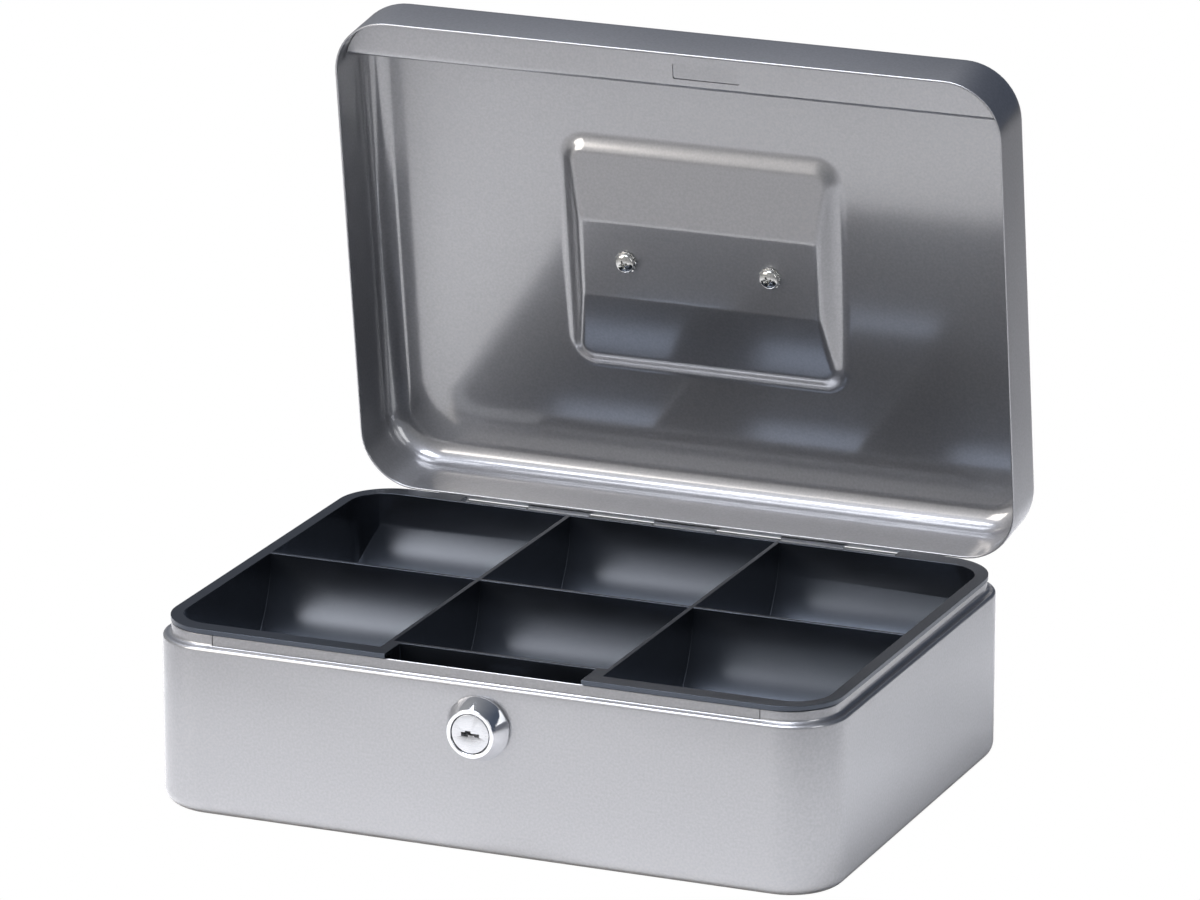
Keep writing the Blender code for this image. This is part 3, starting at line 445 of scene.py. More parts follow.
# %% [markdown]
# ## The body
# The body is one deep-drawn cup. A second stroke of the press pushes its mouth in by 3 mm, which
# leaves a shoulder for the lid to stand on and an upright lip for the lid to slide over. The
# profile runs down the outside, from the lip's top to the flat of the floor. The hole for the
# lock and the gap in the lip are cut afterwards, as the factory does.

# %% The body's cup
fold_radius = 1.2 * MM
heel_radius = 6.0 * MM


def sheet_loop(outer, side):
    """A sheet's closed section from its outer line, with a round raw edge at the line's start."""
    inner = offset_line(outer, side * sheet)
    centre = ((outer[0][0] + inner[0][0]) / 2, outer[0][1])
    start, end = (0, 180) if side > 0 else (0, -180)
    edge = arc(centre, sheet / 2, start, end, 8)[1:-1]
    return list(reversed(inner)) + edge + outer


def drawn_skin(bm, loop):
    rings = [plan_ring(bm, inset, height) for inset, height in loop]
    for first, second in zip(rings, rings[1:]):
        band(bm, first, second)
    return rings


def body_cup():
    outer = [(lip_inset, lip_top - sheet / 2)]
    outer += arc((lip_inset - fold_radius, shoulder_z + fold_radius), fold_radius, 0, -90, 6)
    outer += arc((fold_radius, shoulder_z - fold_radius), fold_radius, 90, 180, 6)
    outer += arc((heel_radius, heel_radius), heel_radius, 180, 270, 12)
    outer += [(heel_radius + 4 * MM, 0.0)]
    bm = bmesh.new()
    rings = drawn_skin(bm, sheet_loop(outer, 1))
    bm.faces.new(rings[0])
    bm.faces.new(rings[-1])
    return to_object("body_cup", bm, lacquer)


lock_node_low, lock_node_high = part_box("lock_housing")
lock_z = (lock_node_low.z + lock_node_high.z) / 2
barrel_radius = 9.0 * MM
plate_half_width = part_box("front_plate")[1].x
plate_front_y = front_y + lip_inset


def lock_drill(name):
    radius, ahead, behind = barrel_radius + fit_gap, 6 * MM, 9 * MM
    bm = lathe([(0, -ahead), (radius, -ahead), (radius, behind), (0, behind)], 96)
    return to_object(name, bm, zinc, place=Matrix.Translation((0, front_y, lock_z)) @ TO_Y)


body = body_cup()
notch_low = (-plate_half_width - fit_gap, plate_front_y - fit_gap, shoulder_z - 2 * sheet)
notch_high = (plate_half_width + fit_gap, plate_front_y + lip_inset, lip_top + sheet)
notch = to_object("notch", block(notch_low, notch_high), zinc)
cut(body, [notch, lock_drill("body_drill")])
settle(body, "base", "silver_steel", "base_shell")

# %% [markdown]
# ## The lock plate
# Behind the front wall stands a second sheet that carries the lock. Its upper edge closes the gap in
# the lip, and a small jog brings its foot flat against the wall, where it is spot-welded.

# %% The lock plate
def folded_line(points, radius, steps=5):
    """An open line with its corners rounded."""
    line = [points[0]]
    for before, corner, after in zip(points, points[1:], points[2:]):
        a = (Vector(before) - Vector(corner)).normalized()
        b = (Vector(after) - Vector(corner)).normalized()
        half = a.angle(b) / 2
        reach = radius / math.tan(half)
        centre = Vector(corner) + (a + b).normalized() * (radius / math.sin(half))
        start = math.atan2(*reversed(Vector(corner) + a * reach - centre))
        end = math.atan2(*reversed(Vector(corner) + b * reach - centre))
        sweep = (end - start + math.pi) % (2 * math.pi) - math.pi
        line += arc(centre, radius, math.degrees(start), math.degrees(start + sweep), steps)
    return line + [points[-1]]


def folded_strip(points, radius):
    """The closed section of a strip from the line along its middle, with round raw edges."""
    middle = folded_line(points, radius)
    left, right = offset_line(middle, sheet / 2), offset_line(middle, -sheet / 2)
    ends = []
    for tip, inner, first in ((middle[-1], middle[-2], left[-1]), (middle[0], middle[1], right[0])):
        start = math.degrees(math.atan2(first[1] - tip[1], first[0] - tip[0]))
        ends.append(arc(tip, sheet / 2, start, start - 180, 6)[1:-1])
    return left + ends[0] + list(reversed(right)) + ends[1]


def front_plate():
    front, back = plate_front_y + sheet / 2, front_y + sheet + fit_gap + sheet / 2
    foot_z, jog_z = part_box("front_plate")[0].z, 26 * MM
    middle = [(front, lip_top - sheet / 2), (front, jog_z), (back, jog_z - lip_inset),
              (back, foot_z + sheet)]
    bm = along_x(folded_strip(middle, 2 * MM), -plate_half_width, plate_half_width)
    return cut(to_object("lock_plate", bm, lacquer), [lock_drill("plate_drill")])


settle(front_plate(), "base", "silver_steel", "front_plate")

# %% [markdown]
# ## The lid
# The lid is drawn like the body, but its top carries a second pressing: a recess for the handle,
# deepest across its middle and rising to both ends. A pressing has no sharp corner anywhere, so the
# recess is best told as a depth for every point of the sheet. The depth starts as the distance in
# from the recess's outline, because the walls slope at 45 degrees. It stops at the floor, and both
# bends are rounded by a short parabola. A fine grid then takes that depth, once for each skin.

# %% The recess as a depth
recess_centre_x = 1.5 * MM
recess_half = Vector((54.7 * MM, 45.5 * MM))
recess_radius = 11 * MM
recess_deep, recess_shallow = 6.5 * MM, 2.8 * MM
recess_level_half = 14.75 * MM
recess_ramp = 23.65 * MM
wall_bend, floor_bend, crease_bend = 3.0 * MM, 1.3 * MM, 0.9 * MM


def eased(value, bend):
    """Zero below zero and the value above it, with the corner rounded over a short span."""
    if value <= -bend:
        return 0.0
    if value >= bend:
        return value
    return (value + bend) ** 2 / (4 * bend)


def recess_depth(x, y):
    """How far the lid's top is pressed in at a point of its plan."""
    across, along = abs(x - recess_centre_x), abs(y)
    out_x, out_y = across - recess_half.x + recess_radius, along - recess_half.y + recess_radius
    inside = recess_radius - math.hypot(max(out_x, 0), max(out_y, 0)) - min(max(out_x, out_y), 0)
    wall = eased(inside - wall_bend, wall_bend)
    rise = (recess_deep - recess_shallow) / recess_ramp
    floor = recess_deep - rise * eased(along - recess_level_half, crease_bend)
    return floor - eased(floor - wall, floor_bend) if inside > 0 else 0.0


# %% The lid's shell
lid_edge_radius = 9.0 * MM
grid_step = 0.62 * MM
grid_margin = 3 * MM


def pressed_skin(bm, height):
    """One skin of the lid's top over the recess, and the ring of its outer points."""
    low = Vector((recess_centre_x - recess_half.x - grid_margin, -recess_half.y - grid_margin))
    size = 2 * (recess_half + Vector((grid_margin, grid_margin)))
    columns, rows = round(size.x / grid_step), round(size.y / grid_step)
    grid = []
    for row in range(rows + 1):
        y = low.y + size.y * row / rows
        spots = [(low.x + size.x * column / columns, y) for column in range(columns + 1)]
        grid.append([bm.verts.new((x, y, height - recess_depth(x, y))) for x, y in spots])
    for near, far in zip(grid, grid[1:]):
        for corners in zip(near, near[1:], far[1:], far):
            bm.faces.new(corners)
    return (grid[0][:-1] + [row[-1] for row in grid[:-1]] + grid[-1][:0:-1]
            + [row[0] for row in grid[:0:-1]])


def lid_shell():
    outer = [(0.0, lid_rim_z + sheet / 2)]
    outer += arc((lid_edge_radius, lid_top_z - lid_edge_radius), lid_edge_radius, 180, 90, 14)
    outer += [(lid_edge_radius + 3 * MM, lid_top_z)]
    bm = bmesh.new()
    rings = drawn_skin(bm, sheet_loop(outer, -1))
    for ring, height in ((rings[0], lid_top_z - sheet), (rings[-1], lid_top_z)):
        hole = pressed_skin(bm, height)
        bmesh.ops.triangle_fill(bm, edges=ring_edges(bm, ring) + ring_edges(bm, hole), use_beauty=True)
    return to_object("lid_pressing", bm, lacquer, place=opening)


settle(lid_shell(), "lid", "silver_steel", "lid_shell")

# %% [markdown]
# ## The strike
# Inside the lid's front wall a folded strip stiffens the rim. The cam's nose comes up through its
# slot and hooks over it. The strip follows the lid's round corners, so it is folded straight first
# and then trimmed to the lid's plan.

# %% The strike
def strike():
    low, high = shut_box("strike_bar")
    turn_up = high.z - low.z - sheet / 2
    front, back, level = low.y + sheet / 2, high.y - sheet / 2, low.z + sheet / 2
    middle = [(front, level + turn_up), (front, level), (back, level), (back, level + turn_up)]
    bm = along_x(folded_strip(middle, 1.0 * MM), -box_width / 2, box_width / 2)
    strip = to_object("strike_strip", bm, lacquer)
    inset = sheet + fit_gap
    trim = rounded_outline(box_width - 2 * inset, box_depth - 2 * inset, plan_radius - inset, 24)
    inside = to_object("lid_inside", plate(trim, low.z - 5 * MM, high.z + 5 * MM), zinc)
    cut(strip, [inside], "INTERSECT")
    slot_x, slot_y, slot_size = 13.7 * MM, -80.4 * MM, (25.0 * MM, 5.8 * MM)
    outline = rounded_outline(*slot_size, 0.7 * MM, 6, (slot_x, slot_y))
    cut(strip, [to_object("slot", plate(outline, low.z - sheet, low.z + 2 * sheet), zinc)])
    strip.data.transform(opening)
    return strip


settle(strike(), "lid", "silver_steel", "strike_bar")

# %% [markdown]
# ## The coin tray
# The tray is one moulding: a flat rim that rests on the lip, and six wells whose floors are half
# pipes, so that a finger can roll a coin out. It is made the way its mould is thought of: a solid
# with the right outside, from which six scoops are taken. Each scoop is a length of pipe, trimmed by
# the rounded outline of the whole pocket. At the front a notch leaves room for the lock.

# %% The tray's wells
tray_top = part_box("coin_tray")[1].z
rim_inset, rim_thickness, tray_wall = 2.2 * MM, 1.6 * MM, 1.5 * MM
rim_radius = 20 * MM
side_rim, front_rim, back_rim = 4.4 * MM, 6.6 * MM, 7.4 * MM
pocket_radius = 13 * MM
dividers_x, divider_y = (-39.3 * MM, 40.5 * MM), 0.2 * MM
notch_left, notch_right, notch_reach = -35.6 * MM, 36.2 * MM, 12.8 * MM
relief_left, relief_right = -82 * MM, 84 * MM


def wells():
    """Each well at the rim: x from and to, y from and to, and its pipe's centre line and radius."""
    right = box_width / 2 - rim_inset - side_rim
    front, back = front_y + rim_inset + front_rim, back_y - rim_inset - back_rim
    edges_x = [-right, *dividers_x, right]
    rows = [(front, divider_y - tray_wall / 2, True), (divider_y + tray_wall / 2, back, False)]
    for low, high, notched in rows:
        for column in range(3):
            start = edges_x[column] + (tray_wall / 2 if column else 0)
            end = edges_x[column + 1] - (tray_wall / 2 if column < 2 else 0)
            near = front_y + rim_inset + notch_reach + tray_wall if notched and column == 1 else low
            yield start, end, near, high, (low + high) / 2, (high - low) / 2


def pipe(name, radius, start, end, y, sides=160):
    bm = lathe([(0, start), (radius, start), (radius, end), (0, end)], sides)
    return to_object(name, bm, polystyrene, place=Matrix.Translation((0, y, tray_top)) @ TO_X)


# %% The tray's moulding
def pocket_block(name, grow, low, high):
    all_wells = list(wells())
    left, right, front, back = all_wells[0][0], all_wells[2][1], all_wells[0][2], all_wells[3][3]
    outline = rounded_outline(right - left + 2 * grow, back - front + 2 * grow, pocket_radius + grow, 20,
                              ((left + right) / 2, (front + back) / 2))
    return to_object(name, plate(outline, low, high), polystyrene)


def coin_tray():
    rim_outline = rounded_outline(box_width - 2 * rim_inset, box_depth - 2 * rim_inset, rim_radius, 20)
    rim = plate(rim_outline, tray_top - rim_thickness, tray_top)
    tray = to_object("coin_tray_moulding", rim, polystyrene)
    rows = [item for number, item in enumerate(wells()) if number % 3 == 0]
    deep = tray_top - box_depth
    underside = pocket_block("underside", tray_wall, deep, tray_top - rim_thickness / 2)
    trough = pipe("trough", rows[0][5] + tray_wall, -box_width, box_width, rows[0][4])
    cut(trough, [pipe("other_trough", rows[1][5] + tray_wall, -box_width, box_width, rows[1][4])], "UNION")
    cut(underside, [trough], "INTERSECT")
    cut(tray, [underside], "UNION")
    scoops = []
    for number, (start, end, near, high, centre, radius) in enumerate(wells()):
        scoop = pipe(f"scoop_{number}", radius, start, end, centre)
        trims = [pocket_block(f"pocket_{number}", 0.0, deep, tray_top + 5 * MM)]
        if near > centre - radius + MM:
            behind_notch = block((start - MM, near, deep), (end + MM, high + MM, 2 * tray_top))
            trims.append(to_object("behind_notch", behind_notch, zinc))
        scoops.append(cut(scoop, trims, "INTERSECT"))
    cut(tray, scoops)
    notch_back, relief_y = front_y + rim_inset + notch_reach, rows[1][3] + tray_wall
    openings = [block((notch_left, front_y - MM, deep), (notch_right, notch_back, 2 * tray_top)),
                block((relief_left, relief_y, deep), (relief_right, back_y + MM, 2 * tray_top))]
    cut(tray, [to_object(f"opening_{number}", bm, zinc) for number, bm in enumerate(openings)])
    return tray


settle(coin_tray(), "tray", "black_plastic", "coin_tray")

# %% [markdown]
# ## The lock
# The housing is one turned piece with a wide cone in front, the plug turns inside it with a thin dark
# gap around, and the key slot lies level. Chrome shows every edge as a line of light, so each edge
# of the turned profile is rounded. A lathe function carries the profile round the axis.

# %% The lock's turned parts
def rounded_profile(points, radius, steps=4):
    """A closed (radius, height) profile with its corners off the axis rounded."""
    turned = []
    for before, corner, after in zip(points[-1:] + points[:-1], points, points[1:] + points[:1]):
        if corner[0] < 0.01 * MM or radius == 0:
            turned.append(corner)
        else:
            reach = min(radius, 0.45 * math.dist(before, corner), 0.45 * math.dist(after, corner))
            lead = 1.4 * reach
            spots = [Vector(corner).lerp(Vector(end), lead / math.dist(end, corner))
                     for end in (before, after)]
            turned += folded_line([tuple(spots[0]), corner, tuple(spots[1])], reach, steps)[1:-1]
    return turned


lock_front = front_y - lock_node_low.y
plug_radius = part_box("lock_plug")[1].x
bezel_radius, face_radius = lock_node_high.x, 8.5 * MM
lock_place = Matrix.Translation((0, front_y, lock_z)) @ Matrix.Rotation(math.radians(90), 4, "X")
lock_back = lock_node_high.y - front_y


def lock_housing():
    bore = plug_radius + fit_gap
    edge_height = fit_gap + 1.2 * MM
    profile = [(bore, lock_front), (face_radius, lock_front), (bezel_radius, edge_height),
               (bezel_radius, fit_gap), (barrel_radius, fit_gap), (barrel_radius, -lock_back),
               (bore, -lock_back)]
    bm = lathe(rounded_profile(profile, 0.3 * MM), 128)
    return to_object("lock_bezel_and_barrel", bm, chrome, place=lock_place)


def wafer_slots():
    """Room in the plug for each wafer at either end of its slide."""
    slots = []
    for number in range(1, 6):
        low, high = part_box(f"lock_wafer_{number}")
        half = (high - low) / 2 + Vector((0, fit_gap, fit_gap))
        half.x = max(-low.x, high.x) + fit_gap
        centre = Vector((0, (low.y + high.y) / 2, (low.z + high.z) / 2))
        slots.append(to_object(f"slot_{number}", block(centre - half, centre + half), zinc))
    return slots


def lock_plug():
    plug_front, plug_back = lock_front - fit_gap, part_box("lock_plug")[1].y
    stub_half, stub_step = 3.5 * MM, front_y + lock_back - fit_gap
    profile = [(0, plug_front), (plug_radius, plug_front), (plug_radius, front_y - stub_step),
               (0, front_y - stub_step)]
    bm = lathe(rounded_profile(profile, 0.25 * MM), 96)
    plug = to_object("lock_plug_turned", bm, brushed_chrome, place=lock_place)
    stub_low = (-stub_half, stub_step - MM, lock_z - stub_half)
    stub_high = (stub_half, plug_back, lock_z + stub_half)
    cut(plug, [to_object("stub", block(stub_low, stub_high), zinc)], "UNION")
    mouth, way_deep = front_y - lock_front, 14 * MM
    key_section = [(-3.3, -0.5), (-1.9, -0.5), (-1.9, -1.0), (0.2, -1.0), (0.2, -0.3), (3.3, -0.3),
                   (3.3, 0.8), (1.5, 0.8), (1.5, 0.4), (-0.7, 0.4), (-0.7, 1.0), (-3.3, 1.0)]
    outline = [(x * MM, z * MM) for x, z in key_section]
    turn = Matrix.Translation((0, mouth - MM, lock_z)) @ TO_Y
    keyway = to_object("keyway", plate(outline, 0, way_deep + MM), zinc, place=turn)
    cut(plug, [keyway] + wafer_slots())
    return soften(plug, 0.12 * MM, 2, 50.0)


settle(lock_housing(), "base", "chrome", "lock_housing")
settle(lock_plug(), "lock_core", "chrome", "lock_plug")

# %% [markdown]
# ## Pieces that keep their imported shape
# The nut, the cam with its washer and screw, and the wafers sit inside the box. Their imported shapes
# are right already, so they only get their metal.

# %% Metal for the inside pieces
def coat(nodes, material):
    for name in nodes:
        mesh = frame["nodes"][name].data
        mesh.materials.clear()
        mesh.materials.append(material)


coat(["lock_nut", "lock_cam", "cam_washer"], zinc)
coat(["cam_screw"], nickel)
coat([f"lock_wafer_{number}" for number in range(1, 6)], brass)

# %% [markdown]
# ## Repeated pieces with Geometry Nodes
# The hinge has seven knuckles in a row and the handle has two screws, each on a toothed washer whose
# teeth stand in a ring. A Geometry Nodes tree suits both: it makes one piece, places copies on a
# line or a circle, and its inputs stay named sizes. Each tree ends by making the copies real and
# giving them their material. The result is read back as a plain mesh.

# %% Geometry Nodes helpers
def node_tree(name, **sizes):
    """An empty tree with named number inputs and a geometry output."""
    tree = bpy.data.node_groups.new(name, "GeometryNodeTree")
    for label, value in sizes.items():
        kind = "NodeSocketInt" if isinstance(value, int) else "NodeSocketFloat"
        tree.interface.new_socket(label, in_out="INPUT", socket_type=kind)
    tree.interface.new_socket("Geometry", in_out="OUTPUT", socket_type="NodeSocketGeometry")
    given = tree.nodes.new("NodeGroupInput")
    return tree, given.outputs


def close_tree(tree, geometry, material):
    real = add(tree, "GeometryNodeRealizeInstances", {"Geometry": geometry})
    coated = add(tree, "GeometryNodeSetMaterial",
                 {"Geometry": real.outputs["Geometry"], "Material": material})
    smooth = add(tree, "GeometryNodeSetShadeSmooth", {"Geometry": coated.outputs["Geometry"]})
    out = tree.nodes.new("NodeGroupOutput")
    tree.links.new(smooth.outputs["Geometry"], out.inputs["Geometry"])


def grown(name, tree, place=None, sharp=35.0, **sizes):
    """Runs a tree with the given sizes and returns its result as a plain mesh object."""
    made = bpy.data.objects.new(name, bpy.data.meshes.new(name))
    bpy.context.scene.collection.objects.link(made)
    change = made.modifiers.new("grow", "NODES")
    change.node_group = tree
    for item in tree.interface.items_tree:
        if item.in_out == "INPUT":
            change[item.identifier] = sizes[item.name]
    baked(made, sharp)
    if place:
        made.data.transform(place)
    return made


def vector(tree, x=0.0, y=0.0, z=0.0):
    return add(tree, "ShaderNodeCombineXYZ", {"X": x, "Y": y, "Z": z}).outputs["Vector"]


def maths(tree, operation, first, second=0.0):
    return add(tree, "ShaderNodeMath", {0: first, 1: second}, operation=operation).outputs["Value"]


def square_ring(tree, inner, outer, thickness, sides=48):
    """A ring about Z with a square section whose corners are slightly rounded."""
    middle = maths(tree, "MULTIPLY", maths(tree, "ADD", inner, outer), 0.5)
    circle = add(tree, "GeometryNodeCurvePrimitiveCircle", {"Resolution": sides, "Radius": middle})
    section = add(tree, "GeometryNodeCurvePrimitiveQuadrilateral",
                  {"Width": maths(tree, "SUBTRACT", outer, inner), "Height": thickness})
    soft = add(tree, "GeometryNodeFilletCurve", {"Curve": section.outputs["Curve"]}, mode="POLY")
    soft.inputs["Radius"].default_value = 0.15 * MM
    soft.inputs["Count"].default_value = 3
    return add(tree, "GeometryNodeCurveToMesh", {"Curve": circle.outputs["Curve"],
                                                 "Profile Curve": soft.outputs["Curve"]}).outputs["Mesh"]


# %% [markdown]
# ### The hinge
# Two leaves are spot-welded to the box and to the lid. Their edges are rolled into knuckles that take
# turns along one pin. The leaf's plate and the tabs that stop the lid are folded strips, and the
# knuckles come from a tree: a ring of one knuckle's length on every second place of the line.

# %% The hinge's knuckles
def knuckle_tree():
    tree, size = node_tree("hinge_knuckles", Count=4, Pitch=0.0, Length=0.0, Bore=0.0, Radius=0.0)
    ring = square_ring(tree, size["Bore"], size["Radius"], size["Length"])
    step = vector(tree, z=maths(tree, "MULTIPLY", size["Pitch"], 2.0))
    line = add(tree, "GeometryNodeMeshLine", {"Count": size["Count"], "Offset": step})
    copies = add(tree, "GeometryNodeInstanceOnPoints", {"Points": line.outputs["Mesh"], "Instance": ring})
    close_tree(tree, copies.outputs["Instances"], hinge_steel)
    return tree


knuckles = knuckle_tree()
hinge_count = 7
hinge_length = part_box("hinge_pin")[1].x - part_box("hinge_pin")[0].x
hinge_pitch = hinge_length / hinge_count
knuckle_radius, pin_radius = 2.6 * MM, 1.2 * MM
leaf_thickness, leaf_height = 1.0 * MM, 13 * MM
stop_width, stop_near, stop_far = 12 * MM, 5 * MM, 11 * MM


def knuckle_row(name, first):
    """The knuckles of one leaf, from the first one that it owns."""
    start = -hinge_length / 2 + (first + 0.5) * hinge_pitch
    place = Matrix.Translation((start, hinge_axis.y, hinge_axis.z)) @ TO_X
    count = len(range(first, hinge_count, 2))
    return grown(name, knuckles, place, Count=count, Pitch=hinge_pitch, Length=hinge_pitch - fit_gap,
                 Bore=pin_radius + fit_gap / 2, Radius=knuckle_radius)


# %% The hinge's leaves
leaf_y = back_y + fit_gap + leaf_thickness / 2


def strip_along_x(name, middle, start, end):
    """A folded strip of the hinge's thickness."""
    line = folded_line(middle, 1.2 * MM) if len(middle) > 2 else middle
    left, right = offset_line(line, leaf_thickness / 2), offset_line(line, -leaf_thickness / 2)
    return to_object(name, along_x(left + list(reversed(right)), start, end), hinge_steel)


def hinge_leaf(name, first, direction):
    """A leaf with a web under each knuckle; direction is -1 down the body, 1 up the lid.

    The plate's edge stands where it keeps the fit gap from the other leaf's round knuckles.
    """
    clear = math.sqrt((knuckle_radius + fit_gap) ** 2 - knuckle_radius ** 2)
    near, far = hinge_axis.z + direction * clear, hinge_axis.z + direction * leaf_height
    half = hinge_length / 2
    reach = -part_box("hinge_base_leaf")[0].x if direction < 0 else half
    leaf = strip_along_x(name, [(leaf_y, near), (leaf_y, far)], -reach, reach)
    webs = []
    for number in range(first, hinge_count, 2):
        start = -half + number * hinge_pitch + fit_gap
        end = start + hinge_pitch - 2 * fit_gap
        tip = (leaf_y + fit_gap / 2, hinge_axis.z)
        root = (leaf_y + fit_gap / 2, near + direction * MM)
        webs.append(strip_along_x(f"{name}_web", [tip, root], start, end))
    cut(leaf, webs + [knuckle_row(f"{name}_knuckles", first)], "UNION")
    return leaf


def stop_tabs():
    """Tabs bent out behind the open lid, which its back wall comes to rest on."""
    spots = [opening @ Vector((0, leaf_y, hinge_axis.z + out)) for out in (stop_near, stop_far)]
    root = hinge_axis.z - leaf_height + leaf_thickness
    middle = [(leaf_y + fit_gap / 2, root), (leaf_y + fit_gap / 2, hinge_axis.z - stop_near)]
    middle += [(spot.y, spot.z) for spot in spots]
    far = -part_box("hinge_base_leaf")[0].x - fit_gap
    near = far - stop_width + fit_gap
    return [strip_along_x("stop_tab", middle, *sorted((side * near, side * far))) for side in (-1, 1)]


base_leaf = hinge_leaf("hinge_leaf_of_body", 0, -1)
cut(base_leaf, stop_tabs(), "UNION")
settle(base_leaf, "base", "bright_steel", "hinge_base_leaf")
lid_leaf = hinge_leaf("hinge_leaf_of_lid", 1, 1)
lid_leaf.data.transform(opening)
settle(lid_leaf, "lid", "bright_steel", "hinge_lid_leaf")
pin_profile = rounded_profile([(0, -hinge_length / 2), (pin_radius, -hinge_length / 2),
                               (pin_radius, hinge_length / 2), (0, hinge_length / 2)], 0.3 * MM)
pin_place = Matrix.Translation(hinge_axis) @ TO_X
pin = to_object("hinge_pin_rod", lathe(pin_profile, 32), hinge_steel, place=pin_place)
settle(pin, "base", "bright_steel", "hinge_pin")

# %% [markdown]
# ### The handle
# The handle is a round bar bent to a U. Its ends turn inwards into two nylon blocks in the recess,
# and a screw through the lid's sheet holds each block. The bar is a curve with a round section,
# because a bend in a bar is just an arc in its path.

# %% The handle's bar
swing = joint("handle_swing")
swing_axis = Vector(swing["pos_m"])
pivot_shut = shutting @ swing_axis
screw_pitch, post_size = 54.8 * MM, Vector((16 * MM, 12 * MM))
rod_radius, post_bore_depth = 2.0 * MM, 5 * MM
screw_xs = [recess_centre_x + side * screw_pitch / 2 for side in (-1, 1)]


def handle_bar():
    half_span, reach, elbow, corner = 39 * MM, 27 * MM, 4 * MM, 9 * MM
    tip = screw_pitch / 2 + post_size.x / 2 - post_bore_depth + fit_gap
    left = [(-tip, 0.0)] + arc((elbow - half_span, elbow), elbow, 270, 180, 10)
    left += arc((corner - half_span, reach - corner), corner, 180, 90, 16)
    path = left + [(-x, y) for x, y in reversed(left)]
    curve = bpy.data.curves.new("handle_bar", "CURVE")
    curve.dimensions = "3D"
    curve.bevel_depth = rod_radius
    curve.bevel_resolution = 10
    curve.use_fill_caps = True
    line = curve.splines.new("POLY")
    line.points.add(len(path) - 1)
    for point, (x, y) in zip(line.points, path):
        point.co = (x, y, 0.0, 1.0)
    rough = bpy.data.objects.new("handle_bar_curve", curve)
    bpy.context.scene.collection.objects.link(rough)
    bpy.context.view_layer.update()
    mesh = bpy.data.meshes.new_from_object(rough.evaluated_get(bpy.context.evaluated_depsgraph_get()))
    bpy.data.objects.remove(rough)
    bm = bmesh.new()
    bm.from_mesh(mesh)
    bmesh.ops.remove_doubles(bm, verts=bm.verts, dist=0.01 * MM)
    tip_depth = lid_top_z - recess_depth(recess_centre_x, reach) + rod_radius + fit_gap
    lean = math.atan2(tip_depth - pivot_shut.z, reach)
    place = opening @ Matrix.Translation(pivot_shut) @ Matrix.Rotation(lean, 4, "X")
    return to_object("handle_bar", bm, chrome, 50.0, place)


settle(handle_bar(), "handle", "chrome", "handle_bail")

# %% The handle's blocks
def handle_block(name, x, side):
    low, high = shut_box("handle_post_left")
    body_block = to_object(name, block((x - post_size.x / 2, -post_size.y / 2, low.z),
                                       (x + post_size.x / 2, post_size.y / 2, high.z)), nylon)
    soften(body_block, 1.2 * MM, 5)
    inner = x + side * (post_size.x / 2 - post_bore_depth)
    bore_radius = rod_radius + fit_gap
    bore = lathe([(0, 0), (bore_radius, 0), (bore_radius, post_size.x), (0, post_size.x)], 48)
    outward = TO_X if side > 0 else TO_X @ Matrix.Rotation(math.pi, 4, "X")
    place = Matrix.Translation((inner, 0, pivot_shut.z)) @ outward
    cut(body_block, [to_object("bore", bore, zinc, place=place)])
    body_block.data.transform(opening)
    return body_block


for word, x, side in (("left", screw_xs[0], -1), ("right", screw_xs[1], 1)):
    settle(handle_block(f"handle_block_{word}", x, side), "lid", "black_nylon", f"handle_post_{word}")

# %% [markdown]
# ### Toothed washers and screws
# The two screws are what shows of the handle from inside. Each bites on a washer with sharp twisted
# teeth, which glitter. The tree places one tooth on every point of a circle, turned to face outwards.

# %% Toothed washers
def washer_tree():
    tree, size = node_tree("toothed_washer", Bore=0.0, Radius=0.0, Thickness=0.0, Teeth=14, Tooth=0.0)
    ring = square_ring(tree, size["Bore"], size["Radius"], size["Thickness"], 64)
    circle = add(tree, "GeometryNodeMeshCircle", {"Vertices": size["Teeth"], "Radius": size["Radius"]})
    tooth_width = maths(tree, "MULTIPLY", size["Tooth"], 0.9)
    tooth_height = maths(tree, "MULTIPLY", size["Thickness"], 0.9)
    tooth = add(tree, "GeometryNodeMeshCube",
                {"Size": vector(tree, size["Tooth"], tooth_width, tooth_height)})
    outward = add(tree, "FunctionNodeAlignRotationToVector",
                  {"Vector": add(tree, "GeometryNodeInputPosition").outputs["Position"]}, axis="X")
    twisted = add(tree, "FunctionNodeRotateRotation",
                  {"Rotation": outward.outputs["Rotation"]}, rotation_space="LOCAL")
    twisted.inputs["Rotate By"].default_value = (math.radians(24), 0, 0)
    copies = add(tree, "GeometryNodeInstanceOnPoints",
                 {"Points": circle.outputs["Mesh"], "Instance": tooth.outputs["Mesh"],
                  "Rotation": twisted.outputs["Rotation"]})
    joined = add(tree, "GeometryNodeJoinGeometry")
    tree.links.new(ring, joined.inputs["Geometry"])
    tree.links.new(copies.outputs["Instances"], joined.inputs["Geometry"])
    close_tree(tree, joined.outputs["Geometry"], nickel)
    return tree


washers = washer_tree()
washer_low, washer_high = shut_box("handle_washer_left")
washer_thickness = washer_high.z - washer_low.z
for word, x in zip(("left", "right"), screw_xs):
    place = opening @ Matrix.Translation((x, 0, (washer_low.z + washer_high.z) / 2))
    ring = grown(f"toothed_washer_{word}", washers, place, Bore=2.15 * MM, Radius=3.75 * MM,
                 Thickness=washer_thickness, Teeth=14, Tooth=0.8 * MM)
    settle(ring, "lid", "nickel", f"handle_washer_{word}")

# %% Cross-recessed screws
screw_low, screw_high = shut_box("handle_screw_left")
head_radius, head_height, shank_radius = 3.6 * MM, 2.4 * MM, 1.95 * MM


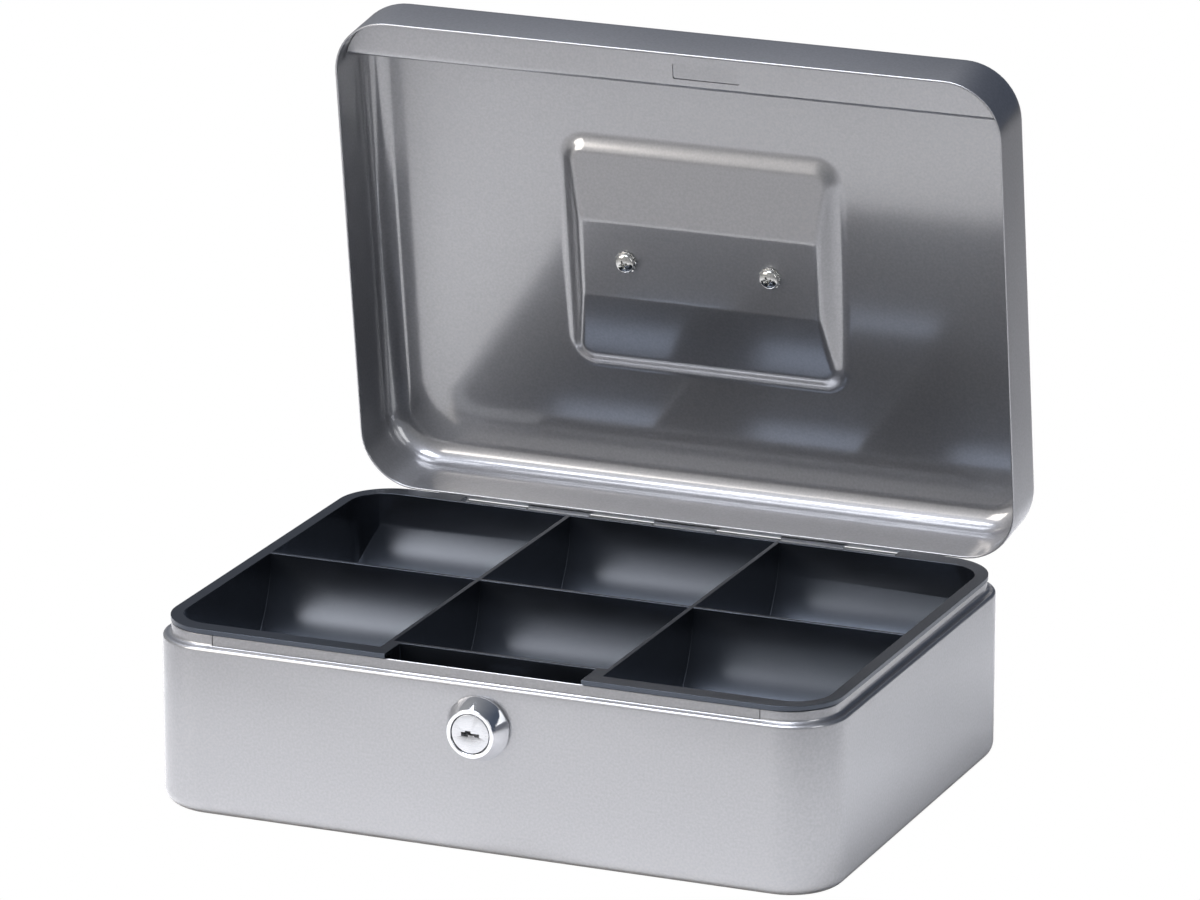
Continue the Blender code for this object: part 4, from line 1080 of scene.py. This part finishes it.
def cross_screw(name, x):
    """A pan head, domed above a short rim, with a cross recess that narrows towards its foot."""
    rim = 0.9 * MM
    dome = [(head_radius * a, rim + (head_height - rim) * b) for a, b in arc((0, 0), 1.0, 90, 0, 12)]
    dome[0] = (0.0, head_height)
    shank = screw_high.z - screw_low.z - head_height
    profile = dome + [(head_radius, 0.0), (shank_radius, 0.0), (shank_radius, -shank), (0.0, -shank)]
    screw = to_object(name, lathe(profile, 64), nickel)
    arms = []
    for turn in (20, 110):
        long_way, narrow, foot = 2.1 * MM, 0.42 * MM, head_height - 1.5 * MM
        bm = block((-long_way, -narrow, foot), (long_way, narrow, head_height + MM))
        low_verts = [vertex for vertex in bm.verts if vertex.co.z < foot + MM / 2]
        bmesh.ops.scale(bm, vec=(0.45, 0.6, 1.0), verts=low_verts)
        arms.append(to_object("arm", bm, zinc, place=Matrix.Rotation(math.radians(turn), 4, "Z")))
    cut(screw, arms)
    soften(screw, 0.1 * MM, 2, 45.0)
    seat = Matrix.Translation((x, 0, screw_low.z + head_height)) @ Matrix.Rotation(math.pi, 4, "X")
    screw.data.transform(opening @ seat)
    return screw


for word, x in zip(("left", "right"), screw_xs):
    settle(cross_screw(f"cross_screw_{word}", x), "lid", "nickel", f"handle_screw_{word}")

# %% [markdown]
# ## The studio
# Metal shows what is around it more than its own colour, so the room matters: a bright front left
# and a dimmer, cooler right and back give the sheets their light and dark halves, and three soft
# panels draw the lines along the bends. The table is white near the box and greyer further out,
# which is painted shade standing in for the lamps' light falling off away from the box.
# Only the metal and the plastic see it: the camera sees a plain white backdrop in its place.

# %% Table, room and lights
def table_top():
    bm = bmesh.new()
    bmesh.ops.create_circle(bm, cap_ends=True, segments=96, radius=7.0)
    mesh = bpy.data.meshes.new("table_top")
    bm.to_mesh(mesh)
    bm.free()
    made = bpy.data.objects.new("table_top", mesh)
    bpy.context.scene.collection.objects.link(made)
    paint, tree, surface, place = new_material("table_paint_with_painted_falloff", Roughness=0.6, Specular_IOR_Level=0.2)
    away = add(tree, "ShaderNodeVectorMath", {0: place}, operation="LENGTH").outputs["Value"]
    # Painted shade: the table's colour goes from white to grey away from the box, in place of light falling
    # off.
    outer = spread(tree, away, 0.0, 1.0, 240 * MM, 510 * MM)
    tree.links.new(tint(tree, outer, "#F8F6F3", "#A9A7A5"), surface.inputs["Base Color"])
    mesh.materials.append(paint)
    made.visible_camera = False


def room():
    """A room that a camera sees as plain white, and that lights the object as a dim studio would."""
    world = bpy.data.worlds.new("studio_room")
    world.use_nodes = True
    bpy.context.scene.world = world
    tree = world.node_tree
    lit = tree.nodes["Background"]
    direction = add(tree, "ShaderNodeTexCoord").outputs["Generated"]
    facing = add(tree, "ShaderNodeSeparateXYZ", {"Vector": direction})
    away = maths(tree, "ADD", facing.outputs["X"], facing.outputs["Y"])
    turned = add(tree, "ShaderNodeMapRange",
                 {"Value": away, "From Min": -0.9, "From Max": 0.9}).outputs["Result"]
    tree.links.new(tint(tree, turned, "#C9C9C9", "#586070"), lit.inputs["Color"])
    lit.inputs["Strength"].default_value = 0.8
    shown = add(tree, "ShaderNodeBackground", {"Color": (1, 1, 1, 1), "Strength": 1.0})
    choice = add(tree, "ShaderNodeMixShader", {0: add(tree, "ShaderNodeLightPath").outputs["Is Camera Ray"],
                                               1: lit.outputs["Background"], 2: shown.outputs["Background"]})
    tree.links.new(choice.outputs["Shader"], tree.nodes["World Output"].inputs["Surface"])


def panel(name, spot, size, watts, target=(0, 0, 0.1), tone="#FFFFFF"):
    """A soft rectangular light that faces the object."""
    light = bpy.data.lights.new(name, "AREA")
    light.shape = "RECTANGLE"
    light.size, light.size_y = size
    light.energy = watts
    light.color = colour(tone)[:3]
    made = bpy.data.objects.new(name, light)
    bpy.context.scene.collection.objects.link(made)
    aim = (Vector(target) - Vector(spot)).to_track_quat("-Z", "Y").to_matrix().to_4x4()
    made.matrix_world = Matrix.Translation(spot) @ aim


table_top()
room()
panel("overhead", (-0.4, -0.5, 2.2), (2.0, 1.1), 68, tone="#F3F6FF")
panel("front_left", (-1.6, -1.8, 1.3), (1.2, 1.2), 25, tone="#FFF8F0")
panel("right_side", (2.0, -0.6, 1.2), (0.8, 1.4), 8)
bpy.context.scene.view_settings.view_transform = "Standard"
